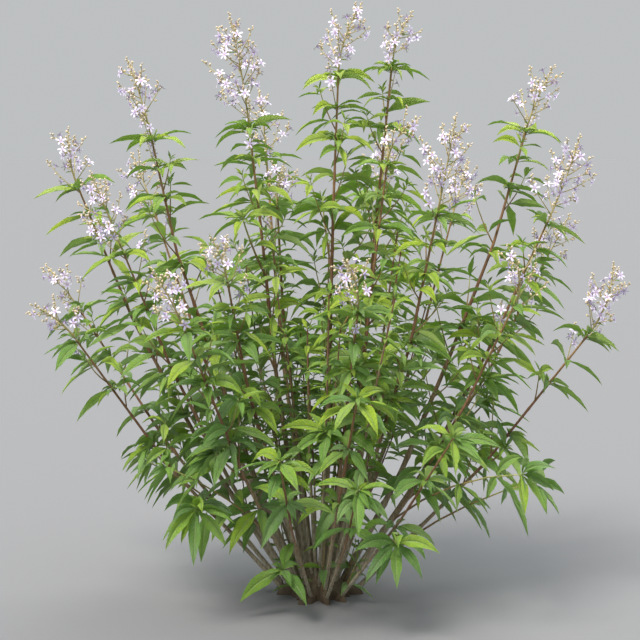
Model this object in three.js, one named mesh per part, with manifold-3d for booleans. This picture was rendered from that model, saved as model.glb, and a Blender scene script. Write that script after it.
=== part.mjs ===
// A lemon verbena bush, cut level with the ground: a woody crown, leafy stems that fan out of it,
// and a loose spray of small star-shaped flowers at the top of each stem that blooms.
// Millimetres, +Z up. The origin is the centre of the crown's flat underside.
import * as THREE from "three";
import { mergeVertices } from "three/addons/utils/BufferGeometryUtils.js";
import Module from "manifold-3d";

const wasm = await Module();
wasm.setup();

// ---------------------------------------------------------------- driving dimensions

const CLEARANCE = 0.35; // left between two pieces that touch

// Each stem stands on the crown and ends at `tip`. `bloom` is the reach of its flower spray from there.
const STEMS = [
  { tip: [-116, 0, 807], bloom: [-30, -4, 176] },
  { tip: [34, 30, 893], bloom: [34, 4, 108] },
  { tip: [127, 110, 905], bloom: [30, 8, 84] },
  { tip: [-282, 20, 787], bloom: [-36, 0, 122] },
  { tip: [-411, 40, 705], bloom: [-14, 4, 86] },
  { tip: [-323, -70, 603], bloom: [-46, -14, 122] },
  { tip: [-405, -60, 454], bloom: [-62, -14, 56] },
  { tip: [-209, -260, 500], bloom: [-44, -30, 92] },
  { tip: [-146, -170, 566], bloom: [-20, -10, 62] },
  { tip: [114, -60, 748], bloom: [44, -20, 70] },
  { tip: [194, -120, 672], bloom: [26, -16, 148] },
  { tip: [357, 70, 799], bloom: [42, 8, 98] },
  { tip: [386, -20, 650], bloom: [48, 0, 132] },
  { tip: [454, -40, 459], bloom: [38, -8, 112] },
  { tip: [318, -150, 525], bloom: [-10, -20, 90] },
  { tip: [63, -220, 525], bloom: [-18, -30, 76] },
  { tip: [-73, 160, 663], bloom: [10, 20, 62] },
  { tip: [114, 240, 680], bloom: [10, 30, 84] },
  { tip: [-300, 270, 640], bloom: [-40, 36, 96] },
  { tip: [-98, 370, 740], bloom: [-14, 40, 110] },
  { tip: [250, 350, 620], bloom: [30, 44, 100] },
  { tip: [400, 200, 540], bloom: [50, 24, 90] },
  { tip: [-430, 190, 470], bloom: [-56, 26, 70] },
  { tip: [-61, -150, 84] },
  { tip: [-61, -292, 297] },
  { tip: [63, -286, 250] },
  { tip: [62, -262, 392] },
  { tip: [214, -270, 330] },
];

// Two numbers in brackets are the lowest and the highest of a size that varies. Angles are in degrees.
// `tries` are the ways in which a piece may grow, the first one that has room: a turn and a size.
// `room` is what it keeps clear of what grew before it.
const CROWN = {
  reachX: 88,
  reachY: 84,
  height: 24,
  sides: 24,
  lobes: 7,
  lobeDepth: 0.07,
  bumps: 5,
  bump: 3,
};
const STEM = {
  foot: 6, // height at which the wood starts, inside the crown
  footRadius: 6.6, // of a stem `fullHeight` tall
  fullHeight: 800,
  tipRadius: 1.6,
  taper: 1.05,
  lean: [0.07, 1.25e-3, -0.45e-6], // how far out it stands at height z is in step with a + bz + cz²
  sway: 7,
  swayBeat: [7, 10],
  sides: 6,
  stepHeight: 210, // of one straight stretch
};
const BRANCH = {
  spacing: 400, // a stem has one side shoot for each such length of its height
  first: 0.46, // share of the stem's length
  next: 0.2,
  shift: [-0.04, 0.04],
  length: 96, // on a stem `onStem` long
  onStem: 700,
  size: [0.75, 1.3],
  footRadius: 2.1,
  tipRadius: 1.3,
  side: 63, // to one side of the way in which the stem leans
  along: 0.79, // parts of the stem's direction and of the sideways one at the foot of the shoot
  apart: 0.62,
  lift: 0.55,
  ballRadius: 3,
  tries: [[0, 1], [40, 1], [-40, 1], [80, 1], [-80, 1], [120, 1], [-120, 1], [180, 1]],
  room: 16,
};
const WHORL = {
  leaves: 3,
  first: 9, // from the tip down to the first whorl
  gap: 47, // to the next, which grows by twice `stretch` each time
  stretch: 2.2,
  every: 2, // one whorl in so many is modelled
  stagger: 1.5, // from one leaf to the next along the shoot
  lowest: 0.42, // share of a stem's length below which it is bare
  lowestOnBranch: 0.3,
  lowestHeight: 46,
};
const LEAF = {
  topLength: 90, // near the tip of a shoot
  lowLength: 106, // `lowAt` down from it
  lowAt: 350,
  size: [0.86, 1.1],
  width: 0.25, // share of the length
  keel: 0.14, // depth of the midrib below the edges, as a share of the width
  stations: [0, 0.38, 0.7, 1],
  open: [54, 76], // from the shoot, and `lowOpen` more `lowAt` down
  lowOpen: 12,
  droop: [0.75, 1.4], // and twice as much, roughly, `lowAt` down
  lowDroop: 0.9,
  roll: [-52, 52],
  ballRadius: 2,
  tries: [[0, 1], [22, 1], [-22, 1], [44, 1], [-44, 1], [0, 0.8], [30, 0.8], [-30, 0.8]],
  room: 1,
};
const SPRAY = {
  radius: 1.8,
  spacing: 17, // one stalk for each such length of the axis, and no less than `fewest`
  fewest: 5,
  first: 0.07, // shares of the axis where the first and the last stalk leave it
  last: 0.84,
  open: [44, 62],
  shortest: 15,
  reach: 0.46, // a stalk's further length, as a share of what is left of the axis
  longSize: [0.75, 1], // of every other stalk
  shortSize: [0.35, 0.6],
  footRadius: 0.45, // of a stalk
  neckRadius: 0.8,
  tries: [[0, 1], [30, 1], [-30, 1], [60, 0.8], [-60, 0.8], [90, 1], [-90, 1]],
  room: 0.8,
};
const FLOWER = { petals: 5, radius: 9, throat: 3, depth: 6.5, cup: 1.2, ballRadius: 7.5 };

// ---------------------------------------------------------------- numbers and directions

const UP = new THREE.Vector3(0, 0, 1);
const GOLDEN = 2.399963; // radians between one shoot and the next round a stem
const DEGREE = Math.PI / 180;
const TINY = 1e-6;

// What each scattered number is for. A branch or a stalk adds its own number to the one given here.
const DRAW = {
  swayPhase: 1,
  swayBeat: 2,
  stemSide: 3,
  branchShift: 10,
  branchSize: 20,
  sprayTurn: 40,
  stalkOpen: 50,
  stalkSize: 60,
  leafSize: 70,
  leafOpen: 71,
  leafDroop: 72,
  leafRoll: 73,
};

/** A number from 0 to 1 that looks random and is always the same for the same piece and draw. */
function scatter(piece, draw) {
  const value = Math.sin(piece * 12.9898 + draw * 78.233) * 43758.5453;
  return value - Math.floor(value);
}

/** A number from `low` to `high`, scattered in the same way. */
const between = ([low, high], piece, draw) => low + (high - low) * scatter(piece, draw);

/** The sum of vectors, each times its number: mix(a, 2, b, 3) is 2a + 3b. */
function mix(...pairs) {
  const sum = new THREE.Vector3();
  for (let i = 0; i < pairs.length; i += 2) sum.addScaledVector(pairs[i], pairs[i + 1]);
  return sum;
}

/** A direction at right angles to `along`. */
function sideOf(along) {
  const other = Math.abs(along.x) < 0.7 ? new THREE.Vector3(1, 0, 0) : new THREE.Vector3(0, 1, 0);
  return other.cross(along).normalize();
}

/** A path that leaves `start` along `from` and turns evenly until it points along `to`. */
const bow = (start, length, from, to) => (s) =>
  mix(start, 1, from, length * (s - (s * s) / 2), to, (length * s * s) / 2);

/** The direction of a path at s. */
function heading(path, s) {
  const step = 1e-3;
  return path(Math.min(s + step, 1)).sub(path(Math.max(s - step, 0))).normalize();
}

/** Where a path is at s, which way it runs there, and two directions across it, one of them near `side`. */
function frameAt(path, s, side) {
  const along = heading(path, s);
  const across = mix(side, 1, along, -side.dot(along)).normalize();
  return { at: path(s), along, across, front: along.clone().cross(across) };
}

/** A point of the plane across a frame, `turn` round its path and `radius` out. */
const around = ({ at, across, front }, radius, turn) =>
  mix(at, 1, across, radius * Math.cos(turn), front, radius * Math.sin(turn));

/** The direction that leaves a frame's path at `angle`, on the side that `turn` gives. */
function leaving({ along, across, front }, angle, turn) {
  const out = mix(across, Math.cos(turn), front, Math.sin(turn));
  return mix(along, Math.cos(angle), out, Math.sin(angle));
}

// ---------------------------------------------------------------- solids

/** A closed geometry as a manifold-3d solid. A triangle whose corners are drawn together is dropped. */
function solidOf(geometry) {
  const weld = 1e-4;
  const bare = geometry.clone();
  bare.deleteAttribute("normal");
  bare.deleteAttribute("uv");
  const merged = mergeVertices(bare, weld);
  const triangles = [];
  for (let i = 0; i < merged.index.count; i += 3) {
    const [a, b, c] = merged.index.array.slice(i, i + 3);
    if (a !== b && b !== c && c !== a) triangles.push(a, b, c);
  }
  return new wasm.Manifold(
    new wasm.Mesh({
      numProp: 3,
      vertProperties: new Float32Array(merged.attributes.position.array),
      triVerts: new Uint32Array(triangles),
    }),
  );
}

/** Joins solids into one body. A scrap that hangs loose and a hollow that the joining seals are left out. */
function fuse(solids) {
  const bodies = solids.reduce((all, one) => all.add(one)).decompose();
  return bodies.reduce((best, body) => (body.volume() > best.volume() ? body : best));
}

/** A manifold-3d solid as a geometry. */
function geometryOf(solid) {
  const { numProp, numVert, vertProperties, triVerts } = solid.getMesh();
  const points = new Float32Array(numVert * 3);
  for (let i = 0; i < numVert; i++) points.set(vertProperties.subarray(i * numProp, i * numProp + 3), i * 3);
  const geometry = new THREE.BufferGeometry();
  geometry.setAttribute("position", new THREE.BufferAttribute(points, 3));
  geometry.setIndex(new THREE.BufferAttribute(new Uint32Array(triVerts), 1));
  return geometry;
}

/** Moves every point of a geometry to where `place(x, y, z)` says. */
function reshape(geometry, place) {
  const points = geometry.getAttribute("position");
  for (let i = 0; i < points.count; i++) {
    points.setXYZ(i, ...place(points.getX(i), points.getY(i), points.getZ(i)).toArray());
  }
  return geometry;
}

/** A round shoot along a path: a cylinder bent to it, with the middle of a face at turn 0. */
function shoot(path, side, radiusAt, sides, steps, topRadius = 1) {
  return solidOf(
    reshape(new THREE.CylinderGeometry(topRadius, 1, 1, sides, steps), (x, y, z) => {
      const s = y + 0.5;
      const radius = Math.hypot(x, z) < TINY ? 0 : radiusAt(s);
      return around(frameAt(path, s, side), radius, Math.atan2(x, z) - Math.PI / sides);
    }),
  );
}

// ---------------------------------------------------------------- room to grow

// Balls that fill the wood, flowers and leaves placed so far. A new piece grows only clear of them.
const taken = [];

/** Balls along a path, about `spacing` apart, from its share `first` to its end. */
function ballsAlong(path, length, radiusAt, spacing, first = 0) {
  const count = Math.max(2, Math.round(length / spacing));
  return Array.from({ length: count + 1 }, (_, i) => {
    const s = first + ((1 - first) * i) / count;
    return { at: path(s), radius: radiusAt(s) };
  });
}

/** True where a ball is above the ground and clear of every ball taken before, but for those of `stem`. */
const isClear = (ball, room, stem) =>
  ball.at.z > ball.radius &&
  taken.every((other) => {
    const reach = ball.radius + other.radius + room;
    return (stem && other.stem === stem) || ball.at.distanceToSquared(other.at) > reach * reach;
  });

const take = (balls, stem) => balls.forEach((ball) => taken.push({ ...ball, stem }));

/** The first of several plans that is clear of what is taken, or null. It takes its own room at once. */
function firstClear(plans, room, stem) {
  const found = plans.find((plan) => plan.balls.every((ball) => isClear(ball, room, stem))) ?? null;
  if (found) take(found.balls, stem);
  return found;
}

// ---------------------------------------------------------------- stems

/** How far out a stem stands at height z, to scale: it leans out fast at first and slower as it climbs. */
const lean = (z) => STEM.lean[0] + STEM.lean[1] * z + STEM.lean[2] * z * z;

/** How many straight stretches a stem of some height has. */
const stretches = (height) => Math.max(2, Math.round(height / STEM.stepHeight));

/** The path of a stem from the crown to its tip. It sways a little, in straight stretches. */
function stemPath([x, y, height], index) {
  const phase = 2 * Math.PI * scatter(index, DRAW.swayPhase);
  const beat = between(STEM.swayBeat, index, DRAW.swayBeat);
  const bent = (s) => {
    const z = STEM.foot + (height - STEM.foot) * s;
    const share = lean(z) / lean(height);
    const sway = STEM.sway * Math.sin(Math.PI * s) * share;
    const turn = phase + beat * s;
    return new THREE.Vector3(x * share + sway * Math.cos(turn), y * share + sway * Math.sin(turn), z);
  };
  const steps = stretches(height);
  return (s) => {
    const i = Math.min(Math.floor(s * steps), steps - 1);
    return bent(i / steps).lerp(bent((i + 1) / steps), s * steps - i);
  };
}

/** A stem's path, the side that its leaves are turned from, and its radius, larger on a tall stem. */
function stemPlan({ tip, bloom }, index) {
  const path = stemPath(tip, index);
  const twist = 2 * Math.PI * scatter(index, DRAW.stemSide);
  const stout = (STEM.footRadius - STEM.tipRadius) * Math.min(1, tip[2] / STEM.fullHeight);
  return {
    index,
    tip,
    bloom,
    path,
    side: new THREE.Vector3(Math.cos(twist), Math.sin(twist), 0),
    length: path(0).distanceTo(path(1)),
    radiusAt: (s) => STEM.tipRadius + stout * (1 - s) ** STEM.taper,
    steps: stretches(tip[2]),
  };
}

const branchRadius = (s) => BRANCH.footRadius + (BRANCH.tipRadius - BRANCH.footRadius) * s;

/** The side shoots of a stem: each leaves it at a shallow angle and curves up. */
function branchesOf(stem) {
  const { tip, path, index, length } = stem;
  const outward = Math.atan2(tip[1], tip[0]);
  const found = Array.from({ length: Math.floor(tip[2] / BRANCH.spacing) }, (_, i) => {
    const s = BRANCH.first + BRANCH.next * i + between(BRANCH.shift, index, DRAW.branchShift + i);
    const full = (BRANCH.length * between(BRANCH.size, index, DRAW.branchSize + i) * length) / BRANCH.onStem;
    const side = (i % 2 ? BRANCH.side : -BRANCH.side) * DEGREE;
    const plans = BRANCH.tries.map(([turn, size]) => {
      const round = outward + side + turn * DEGREE;
      const flat = new THREE.Vector3(Math.cos(round), Math.sin(round), 0);
      const from = mix(heading(path, s), BRANCH.along, flat, BRANCH.apart).normalize();
      const branch = bow(path(s), full * size, from, mix(from, 1, UP, BRANCH.lift).normalize());
      const balls = ballsAlong(branch, full * size, () => BRANCH.ballRadius, 8, 0.3);
      return { path: branch, length: full * size, side: sideOf(from), balls };
    });
    return firstClear(plans, BRANCH.room, stem);
  });
  return found.filter(Boolean);
}

// ---------------------------------------------------------------- flower sprays

/** The axis of a spray, which starts just clear of the stem's tip and bows to the end of its reach. */
function sprayAxis({ bloom, path }) {
  const reach = new THREE.Vector3(...bloom);
  const length = reach.length();
  const from = heading(path, 1);
  const start = mix(path(1), 1, from, CLEARANCE);
  return { path: bow(start, length, from, mix(reach, 2 / length, from, -1)), side: sideOf(from), length };
}

/** The stalks of a spray, long at its foot and short at its top, each with a flower at its end. */
function stalksOf({ index, axis }) {
  const count = Math.max(SPRAY.fewest, Math.round(axis.length / SPRAY.spacing));
  const found = Array.from({ length: count }, (_, i) => {
    const s = SPRAY.first + ((SPRAY.last - SPRAY.first) * i) / (count - 1);
    const frame = frameAt(axis.path, s, axis.side);
    const share = between(i % 2 ? SPRAY.shortSize : SPRAY.longSize, index, DRAW.stalkSize + i);
    const open = between(SPRAY.open, index, DRAW.stalkOpen + i) * DEGREE;
    const round = GOLDEN * i + 2 * Math.PI * scatter(index, DRAW.sprayTurn);
    const plans = SPRAY.tries.map(([turn, size]) => {
      const out = leaving(frame, open, round + turn * DEGREE);
      const length = SPRAY.shortest + SPRAY.reach * axis.length * (1 - s) * share * size;
      const path = (t) => mix(frame.at, 1, out, length * t);
      const balls = ballsAlong(path, length, () => 1, 7, 0.4);
      balls.push({ at: path(1), radius: FLOWER.ballRadius });
      return { at: frame.at, out, length, turn: i, balls };
    });
    return firstClear(plans, SPRAY.room);
  });
  return found.filter(Boolean);
}

/** A stalk that opens into a star of narrow petals. Its foot and its neck have three corners. */
function flowerStalk({ at, out, length, turn }) {
  const points = FLOWER.petals * 2;
  const side = sideOf(out);
  const front = out.clone().cross(side);
  return solidOf(
    reshape(new THREE.CylinderGeometry(1, 1, 1, points, 2), (x, y, z) => {
      const [isFoot, isStar] = [y < -TINY, y > TINY];
      const far = isStar ? length : isFoot ? 0 : length - FLOWER.depth;
      const frame = { at: mix(at, 1, out, far), across: side, front };
      if (Math.hypot(x, z) < TINY) return mix(frame.at, 1, out, isStar ? -FLOWER.cup : 0);
      const corner = Math.round((Math.atan2(x, z) / Math.PI) * FLOWER.petals + points) % points;
      const petal = (corner * Math.PI) / FLOWER.petals + turn;
      if (isStar) return around(frame, corner % 2 ? FLOWER.throat : FLOWER.radius, petal);
      const third = Math.floor((corner * 3) / points) / 3;
      return around(frame, isFoot ? SPRAY.footRadius : SPRAY.neckRadius, 2 * Math.PI * third + 1 + turn);
    }),
  );
}

/** A spray as one solid: an axis that ends in a bud, with the foot of each stalk sunk into it. */
const spray = ({ axis, stalks }) =>
  fuse([shoot(axis.path, axis.side, () => SPRAY.radius, 3, 3, 0), ...stalks.map(flowerStalk)]);

// ---------------------------------------------------------------- leaves

/** Half the width of a blade at s, as a share of its greatest: full near the stem, then drawn to a point. */
function bladeOutline(s) {
  const widest = LEAF.stations[1];
  if (s < widest) return Math.sin(((s / widest) * Math.PI) / 2);
  return Math.cos((((s - widest) / (1 - widest)) * Math.PI) / 2) ** 1.15;
}

/** A leaf that arches out of a shoot and hangs at its tip, or null where no way to turn is clear. */
function leafPlan(frame, length, grown, leaf, turn) {
  const open = (between(LEAF.open, leaf, DRAW.leafOpen) + LEAF.lowOpen * grown) * DEGREE;
  const droop = between(LEAF.droop, leaf, DRAW.leafDroop) * (1 + LEAF.lowDroop * grown);
  const roll = between(LEAF.roll, leaf, DRAW.leafRoll) * DEGREE;
  const plans = LEAF.tries.map(([shift, size]) => {
    const from = leaving(frame, open, turn + shift * DEGREE);
    const reach = length * size;
    const path = bow(frame.at, reach, from, mix(from, 1, UP, -droop).normalize());
    const half = (s) => (reach * LEAF.width * bladeOutline(s)) / 2;
    const balls = ballsAlong(path, reach, (s) => Math.max(LEAF.ballRadius, half(s) * 0.8), 13, 0.3);
    return { path, half, balls, side: frame.along, roll };
  });
  return firstClear(plans, LEAF.room);
}

/** A leaf blade: a three-sided spindle with a flat top between two edges and the midrib below. */
function blade({ path, half, side, roll }) {
  const steps = LEAF.stations.length - 1;
  return solidOf(
    reshape(new THREE.SphereGeometry(1, 3, steps, Math.PI / 2), (x, y, z) => {
      const down = Math.acos(THREE.MathUtils.clamp(y, -1, 1)) / Math.PI;
      const s = LEAF.stations[Math.round((1 - down) * steps)];
      const { at, across: up, front: out } = frameAt(path, s, side);
      if (Math.hypot(x, z) < TINY) return at;
      const turn = Math.atan2(x, z) + Math.PI;
      const keel = half(s) * 2 * LEAF.keel;
      const high = (keel * (Math.cos(turn) - 0.5)) / 1.5;
      const wide = (half(s) * Math.sin(turn)) / Math.sin(Math.PI / 3);
      const [c, r] = [Math.cos(roll), Math.sin(roll)];
      return mix(at, 1, up, high * c - wide * r, out, high * r + wide * c);
    }),
  );
}

/** The leaves of one shoot: whorls from its tip down to its share `lowest`, at most `most` of them. */
function leavesOn({ path, length, side }, number, lowest, most) {
  const found = [];
  for (let k = 0; k < most * WHORL.every; k += WHORL.every) {
    const down = WHORL.first + WHORL.gap * k + WHORL.stretch * k * k;
    const s = 1 - down / length;
    if (s < lowest || path(s).z < WHORL.lowestHeight) break;
    const grown = Math.min(1, down / LEAF.lowAt);
    const full = LEAF.topLength + (LEAF.lowLength - LEAF.topLength) * grown;
    const turned = k % (2 * WHORL.every) ? Math.PI / WHORL.leaves : 0;
    for (let j = 0; j < WHORL.leaves; j++) {
      const frame = frameAt(path, s + (j * WHORL.stagger) / length, side);
      const leaf = number * 100 + k * 7 + j;
      const size = full * between(LEAF.size, leaf, DRAW.leafSize);
      found.push(leafPlan(frame, size, grown, leaf, turned + (2 * Math.PI * j) / WHORL.leaves));
    }
  }
  return found.filter(Boolean);
}

// ---------------------------------------------------------------- the crown

/** The lobed woody crown: a low dome with a flat underside. `gap` makes it larger, but for the underside. */
function crown(gap = 0) {
  const profile = [
    [0, 0],
    [0.96, 0],
    [1, 0.25],
    [0.82, 0.62],
    [0.45, 0.92],
    [0, 1],
  ];
  const outline = profile.map(([radius, height]) => new THREE.Vector2(radius, height));
  return solidOf(
    reshape(new THREE.LatheGeometry(outline, CROWN.sides), (x, y, z) => {
      const angle = Math.atan2(z, x);
      const out = Math.hypot(x, z);
      const lobe = 1 + CROWN.lobeDepth * out * Math.sin(CROWN.lobes * angle);
      const bump = CROWN.bump * out * Math.sin(CROWN.bumps * angle + 1);
      const height = y > 0 ? y * (CROWN.height + bump) + gap : 0;
      return new THREE.Vector3(x * lobe * (CROWN.reachX + gap), -z * lobe * (CROWN.reachY + gap), height);
    }),
  );
}

// ---------------------------------------------------------------- the bush

const BARK = { color: 0x7a6450, roughness: 0.85, metalness: 0 };
const FOLIAGE = { color: 0x6f9a3c, roughness: 0.5, metalness: 0 };
const PETALS = { color: 0xddd6ee, roughness: 0.55, metalness: 0 };

const bush = new THREE.Group();

function addPiece(name, solid, finish) {
  const mesh = new THREE.Mesh(geometryOf(solid), new THREE.MeshStandardMaterial(finish));
  mesh.name = name;
  bush.add(mesh);
}

// The stems claim their room first, then the sprays' axes, their flowers, the side shoots and the leaves.
const stems = STEMS.map(stemPlan);
const blooming = stems.filter((stem) => stem.bloom);
for (const stem of stems) take(ballsAlong(stem.path, stem.length, stem.radiusAt, 10), stem);
for (const stem of blooming) stem.axis = sprayAxis(stem);
for (const { axis } of blooming) take(ballsAlong(axis.path, axis.length, () => SPRAY.radius, 6, 0.05));
for (const stem of blooming) stem.stalks = stalksOf(stem);
for (const stem of stems) stem.branches = branchesOf(stem);
for (const stem of stems) {
  const number = stem.index + 1;
  const onStem = leavesOn(stem, number, WHORL.lowest, Infinity);
  const onBranches = stem.branches.map((one, i) => leavesOn(one, number * 40 + i, WHORL.lowestOnBranch, 1));
  stem.leaves = [onStem, ...onBranches].flat();
}

const seat = crown(CLEARANCE);
addPiece("crown", crown(), BARK);

for (const stem of stems) {
  const number = String(stem.index + 1).padStart(2, "0");
  const wood = [shoot(stem.path, stem.side, stem.radiusAt, STEM.sides, stem.steps)];
  for (const { path, side } of stem.branches) wood.push(shoot(path, side, branchRadius, 3, 2));
  const whole = fuse([...wood, ...stem.leaves.map(blade)]);
  addPiece(`leafy_stem_${number}`, fuse([whole.subtract(seat)]), FOLIAGE);
  if (stem.bloom) addPiece(`flower_spray_${number}`, spray(stem), PETALS);
}

export default bush;
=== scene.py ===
# %% [markdown]
# # A lemon verbena bush in flower
#
# Lemon verbena is a shrub. Straight canes rise from one woody crown, carry lance-shaped leaves in whorls
# of three, and end in loose sprays of small white and lilac flowers. This file grows the bush as it grows
# in a garden: rules first say where every shoot, leaf and flower goes, and then one kind of surface, a
# closed loop of points carried along a path, gives each of them its skin.

# %% Load the frame
import math
from functools import partial
from types import SimpleNamespace as Bunch

import bpy
import numpy as np
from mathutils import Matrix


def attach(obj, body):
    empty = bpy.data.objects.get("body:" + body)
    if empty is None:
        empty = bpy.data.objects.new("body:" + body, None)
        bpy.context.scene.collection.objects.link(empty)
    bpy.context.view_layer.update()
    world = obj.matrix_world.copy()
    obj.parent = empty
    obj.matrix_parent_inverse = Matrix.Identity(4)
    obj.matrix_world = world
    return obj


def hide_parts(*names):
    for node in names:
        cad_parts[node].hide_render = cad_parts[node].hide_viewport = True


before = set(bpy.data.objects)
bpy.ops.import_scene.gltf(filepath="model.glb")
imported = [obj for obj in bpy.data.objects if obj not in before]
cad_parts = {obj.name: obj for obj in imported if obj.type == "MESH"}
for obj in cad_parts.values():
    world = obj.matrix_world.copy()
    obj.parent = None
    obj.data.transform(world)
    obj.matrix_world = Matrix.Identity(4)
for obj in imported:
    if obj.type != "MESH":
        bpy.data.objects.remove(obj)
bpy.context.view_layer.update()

# %% [markdown]
# ## The stems
#
# A gardener would describe the bush by its canes, so those are all that is listed: the place of each tip,
# and how far its spray of flowers reaches on from there. The bush is grown in millimetres, and each mesh
# is turned into metres as it is made. The rest follows from habits, which stand where they are first
# needed. In a habit, angles are in degrees, and a share is counted from 0 at a piece's foot to 1 at its
# tip. Three numbers in brackets are the least and the most of a size that varies, and its draw.

# %% Stems: tip, and the reach of the spray
MM = 0.001
UP = np.array([0.0, 0.0, 1.0])
GOLDEN = 2.399963
TAU = 2 * np.pi
STEMS = [
    ((-116, 0, 807), (-30, -4, 176)),
    ((34, 30, 893), (34, 4, 108)),
    ((127, 110, 905), (30, 8, 84)),
    ((-282, 20, 787), (-36, 0, 122)),
    ((-411, 40, 705), (-14, 4, 86)),
    ((-323, -70, 603), (-46, -14, 122)),
    ((-405, -60, 454), (-62, -14, 56)),
    ((-209, -260, 500), (-44, -30, 92)),
    ((-146, -170, 566), (-20, -10, 62)),
    ((114, -60, 748), (44, -20, 70)),
    ((194, -120, 672), (26, -16, 148)),
    ((357, 70, 799), (42, 8, 98)),
    ((386, -20, 650), (48, 0, 132)),
    ((454, -40, 459), (38, -8, 112)),
    ((318, -150, 525), (-10, -20, 90)),
    ((63, -220, 525), (-18, -30, 76)),
    ((-73, 160, 663), (10, 20, 62)),
    ((114, 240, 680), (10, 30, 84)),
    ((-300, 270, 640), (-40, 36, 96)),
    ((-98, 370, 740), (-14, 40, 110)),
    ((250, 350, 620), (30, 44, 100)),
    ((400, 200, 540), (50, 24, 90)),
    ((-430, 190, 470), (-56, 26, 70)),
    ((-61, -150, 84), None),
    ((-61, -292, 297), None),
    ((63, -286, 250), None),
    ((62, -262, 392), None),
    ((214, -270, 330), None),
]
print("stems:", len(STEMS), "of which bloom:", sum(bloom is not None for _, bloom in STEMS))

# %% [markdown]
# ## Numbers that look random
#
# No two leaves are alike, and yet the bush has to grow the same each time. The sine of a large number,
# times a still larger one, has no order left behind its decimal point. So it gives every piece its own
# fixed share of each habit, and each habit has a number of its own, its draw.

# %% Scattered numbers
def scatter(piece, draw):
    """The fraction of 43758.5453 sin(12.9898 piece + 78.233 draw), from 0 to 1."""
    value = np.sin(piece * 12.9898 + draw * 78.233) * 43758.5453
    return value - np.floor(value)


def vary(habit, piece, step=0):
    """least + (most - least) scatter."""
    least, most, draw = habit
    return least + (most - least) * scatter(piece, draw + step)


print("three scattered angles:", [round(vary((54, 76, 71), piece)) for piece in (1, 2, 3)])

# %% [markdown]
# ## Paths and frames
#
# A shoot, a leaf and a petal all start out one way and end up pointing another. Blender's own Bezier curve
# could draw each, but one formula serves thousands at once: a bow leaves its start along one direction and
# turns evenly to a second. A frame on it, the way it runs and two directions across it, then says where
# "beside" and "above" are, all the way along.


# %% Directions, bows and frames
def dot(a, b):
    """The dot product over the last axis, which is kept."""
    return (a * b).sum(-1, keepdims=True)


def unit(v):
    """The vector over its own length."""
    return v / np.sqrt(dot(v, v))


def side_of(along):
    """A direction at right angles to one direction."""
    other = np.array([1.0, 0, 0]) if abs(along[0]) < 0.7 else np.array([0, 1.0, 0])
    return unit(np.cross(other, along))


def bow(start, length, first, last):
    """The curve start + length (first (s - s²/2) + last s²/2). It takes arrays of curves, too."""

    def path(s):
        s = np.asarray(s, float)[..., None]
        return start + length * (first * (s - s * s / 2) + last * s * s / 2)

    return path


def bowed(start, length, first, last, side=None, **more):
    """A piece that grows along a bow: the bow's numbers, a side at right angles, and what else it has."""
    return Bunch(
        start=start, length=length, first=first, last=last, path=bow(start, length, first, last),
        side=side_of(first) if side is None else side, **more,
    )


def heading(path, s):
    """The direction of a path: from a thousandth before s to a thousandth after it, over the length."""
    s = np.asarray(s, float)
    return unit(path(np.minimum(s + 1e-3, 1)) - path(np.maximum(s - 1e-3, 0)))


def frame_at(at, along, across):
    """A frame, with the cross product of its two directions as its third."""
    return Bunch(at=at, along=along, across=across, front=np.cross(along, across))


def frames(path, s, side):
    """The frame at s: along the path, and across it as near to `side` as can be."""
    along = heading(path, s)
    return frame_at(path(s), along, unit(side - along * dot(side, along)))


def leaving(place, degrees, turn):
    """along cos(angle) + (across cos(turn) + front sin(turn)) sin(angle), with the angle in degrees."""
    angle = math.radians(degrees)
    out = place.across * np.cos(turn) + place.front * np.sin(turn)
    return place.along * np.cos(angle) + out * np.sin(angle)


print("a bow 10 mm long, from flat to upright, rises", bow(0 * UP, 10, np.eye(3)[0], UP)(1)[2], "mm")

# %% [markdown]
# ## Room to grow
#
# Leaves on a real bush push past each other until each has its place. Blender could find where meshes
# cross, but not before they are made. So every piece that has grown claims a row of balls, and a new one
# tries a few turns until its own balls are clear of all the others. It is a coarse test, but a leaf is
# thin, so what passes it hardly ever cuts through a neighbour.

# %% Balls that claim room
taken = Bunch(at=np.zeros((0, 3)), radius=np.zeros(0), owner=np.zeros(0, int))
NOBODY = -1
FARTHEST = 60  # balls further away than this from a piece are left out of its test
UNDERGROUND, ALONE = -1000.0, 1000.0


def balls_along(piece, radius, spacing, first=0.0):
    """Centres and radii of balls about `spacing` apart, from the share `first` of a piece to its tip."""
    count = max(2, math.floor(piece.length / spacing + 0.5))
    s = first + (1 - first) * np.arange(count + 1) / count
    return piece.path(s), (radius(s) if callable(radius) else radius) + np.zeros(count + 1)


def clearance(balls, owner=NOBODY):
    """The least distance from these balls to those taken by another owner, over both radii."""
    at, radius = balls
    if (at[:, 2] <= radius).any():
        return UNDERGROUND
    middle = at.mean(0)
    near = (np.abs(taken.at - middle) < np.abs(at - middle).max() + FARTHEST).all(1)
    if owner != NOBODY:
        near &= taken.owner != owner
    if not near.any():
        return ALONE
    apart = np.sqrt(((at[:, None] - taken.at[near]) ** 2).sum(2))
    return (apart - radius[:, None] - taken.radius[near]).min()


def take(balls, owner=NOBODY):
    """Adds balls to those taken."""
    at, radius = balls
    taken.at = np.concatenate([taken.at, at])
    taken.radius = np.concatenate([taken.radius, radius])
    taken.owner = np.concatenate([taken.owner, np.full(len(at), owner)])


def settle(plans, room, worst=None, owner=NOBODY):
    """Yields the first plan that is `room` clear, else the roomiest if above `worst`, and else nothing."""
    best, most = None, room if worst is None else worst
    for plan in plans:
        clear = clearance(plan.balls, owner)
        if clear > most:
            best, most = plan, clear
        if clear > room:
            break
    if best:
        take(best.balls, owner)
        yield best


print("balls taken so far:", len(taken.radius))


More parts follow.
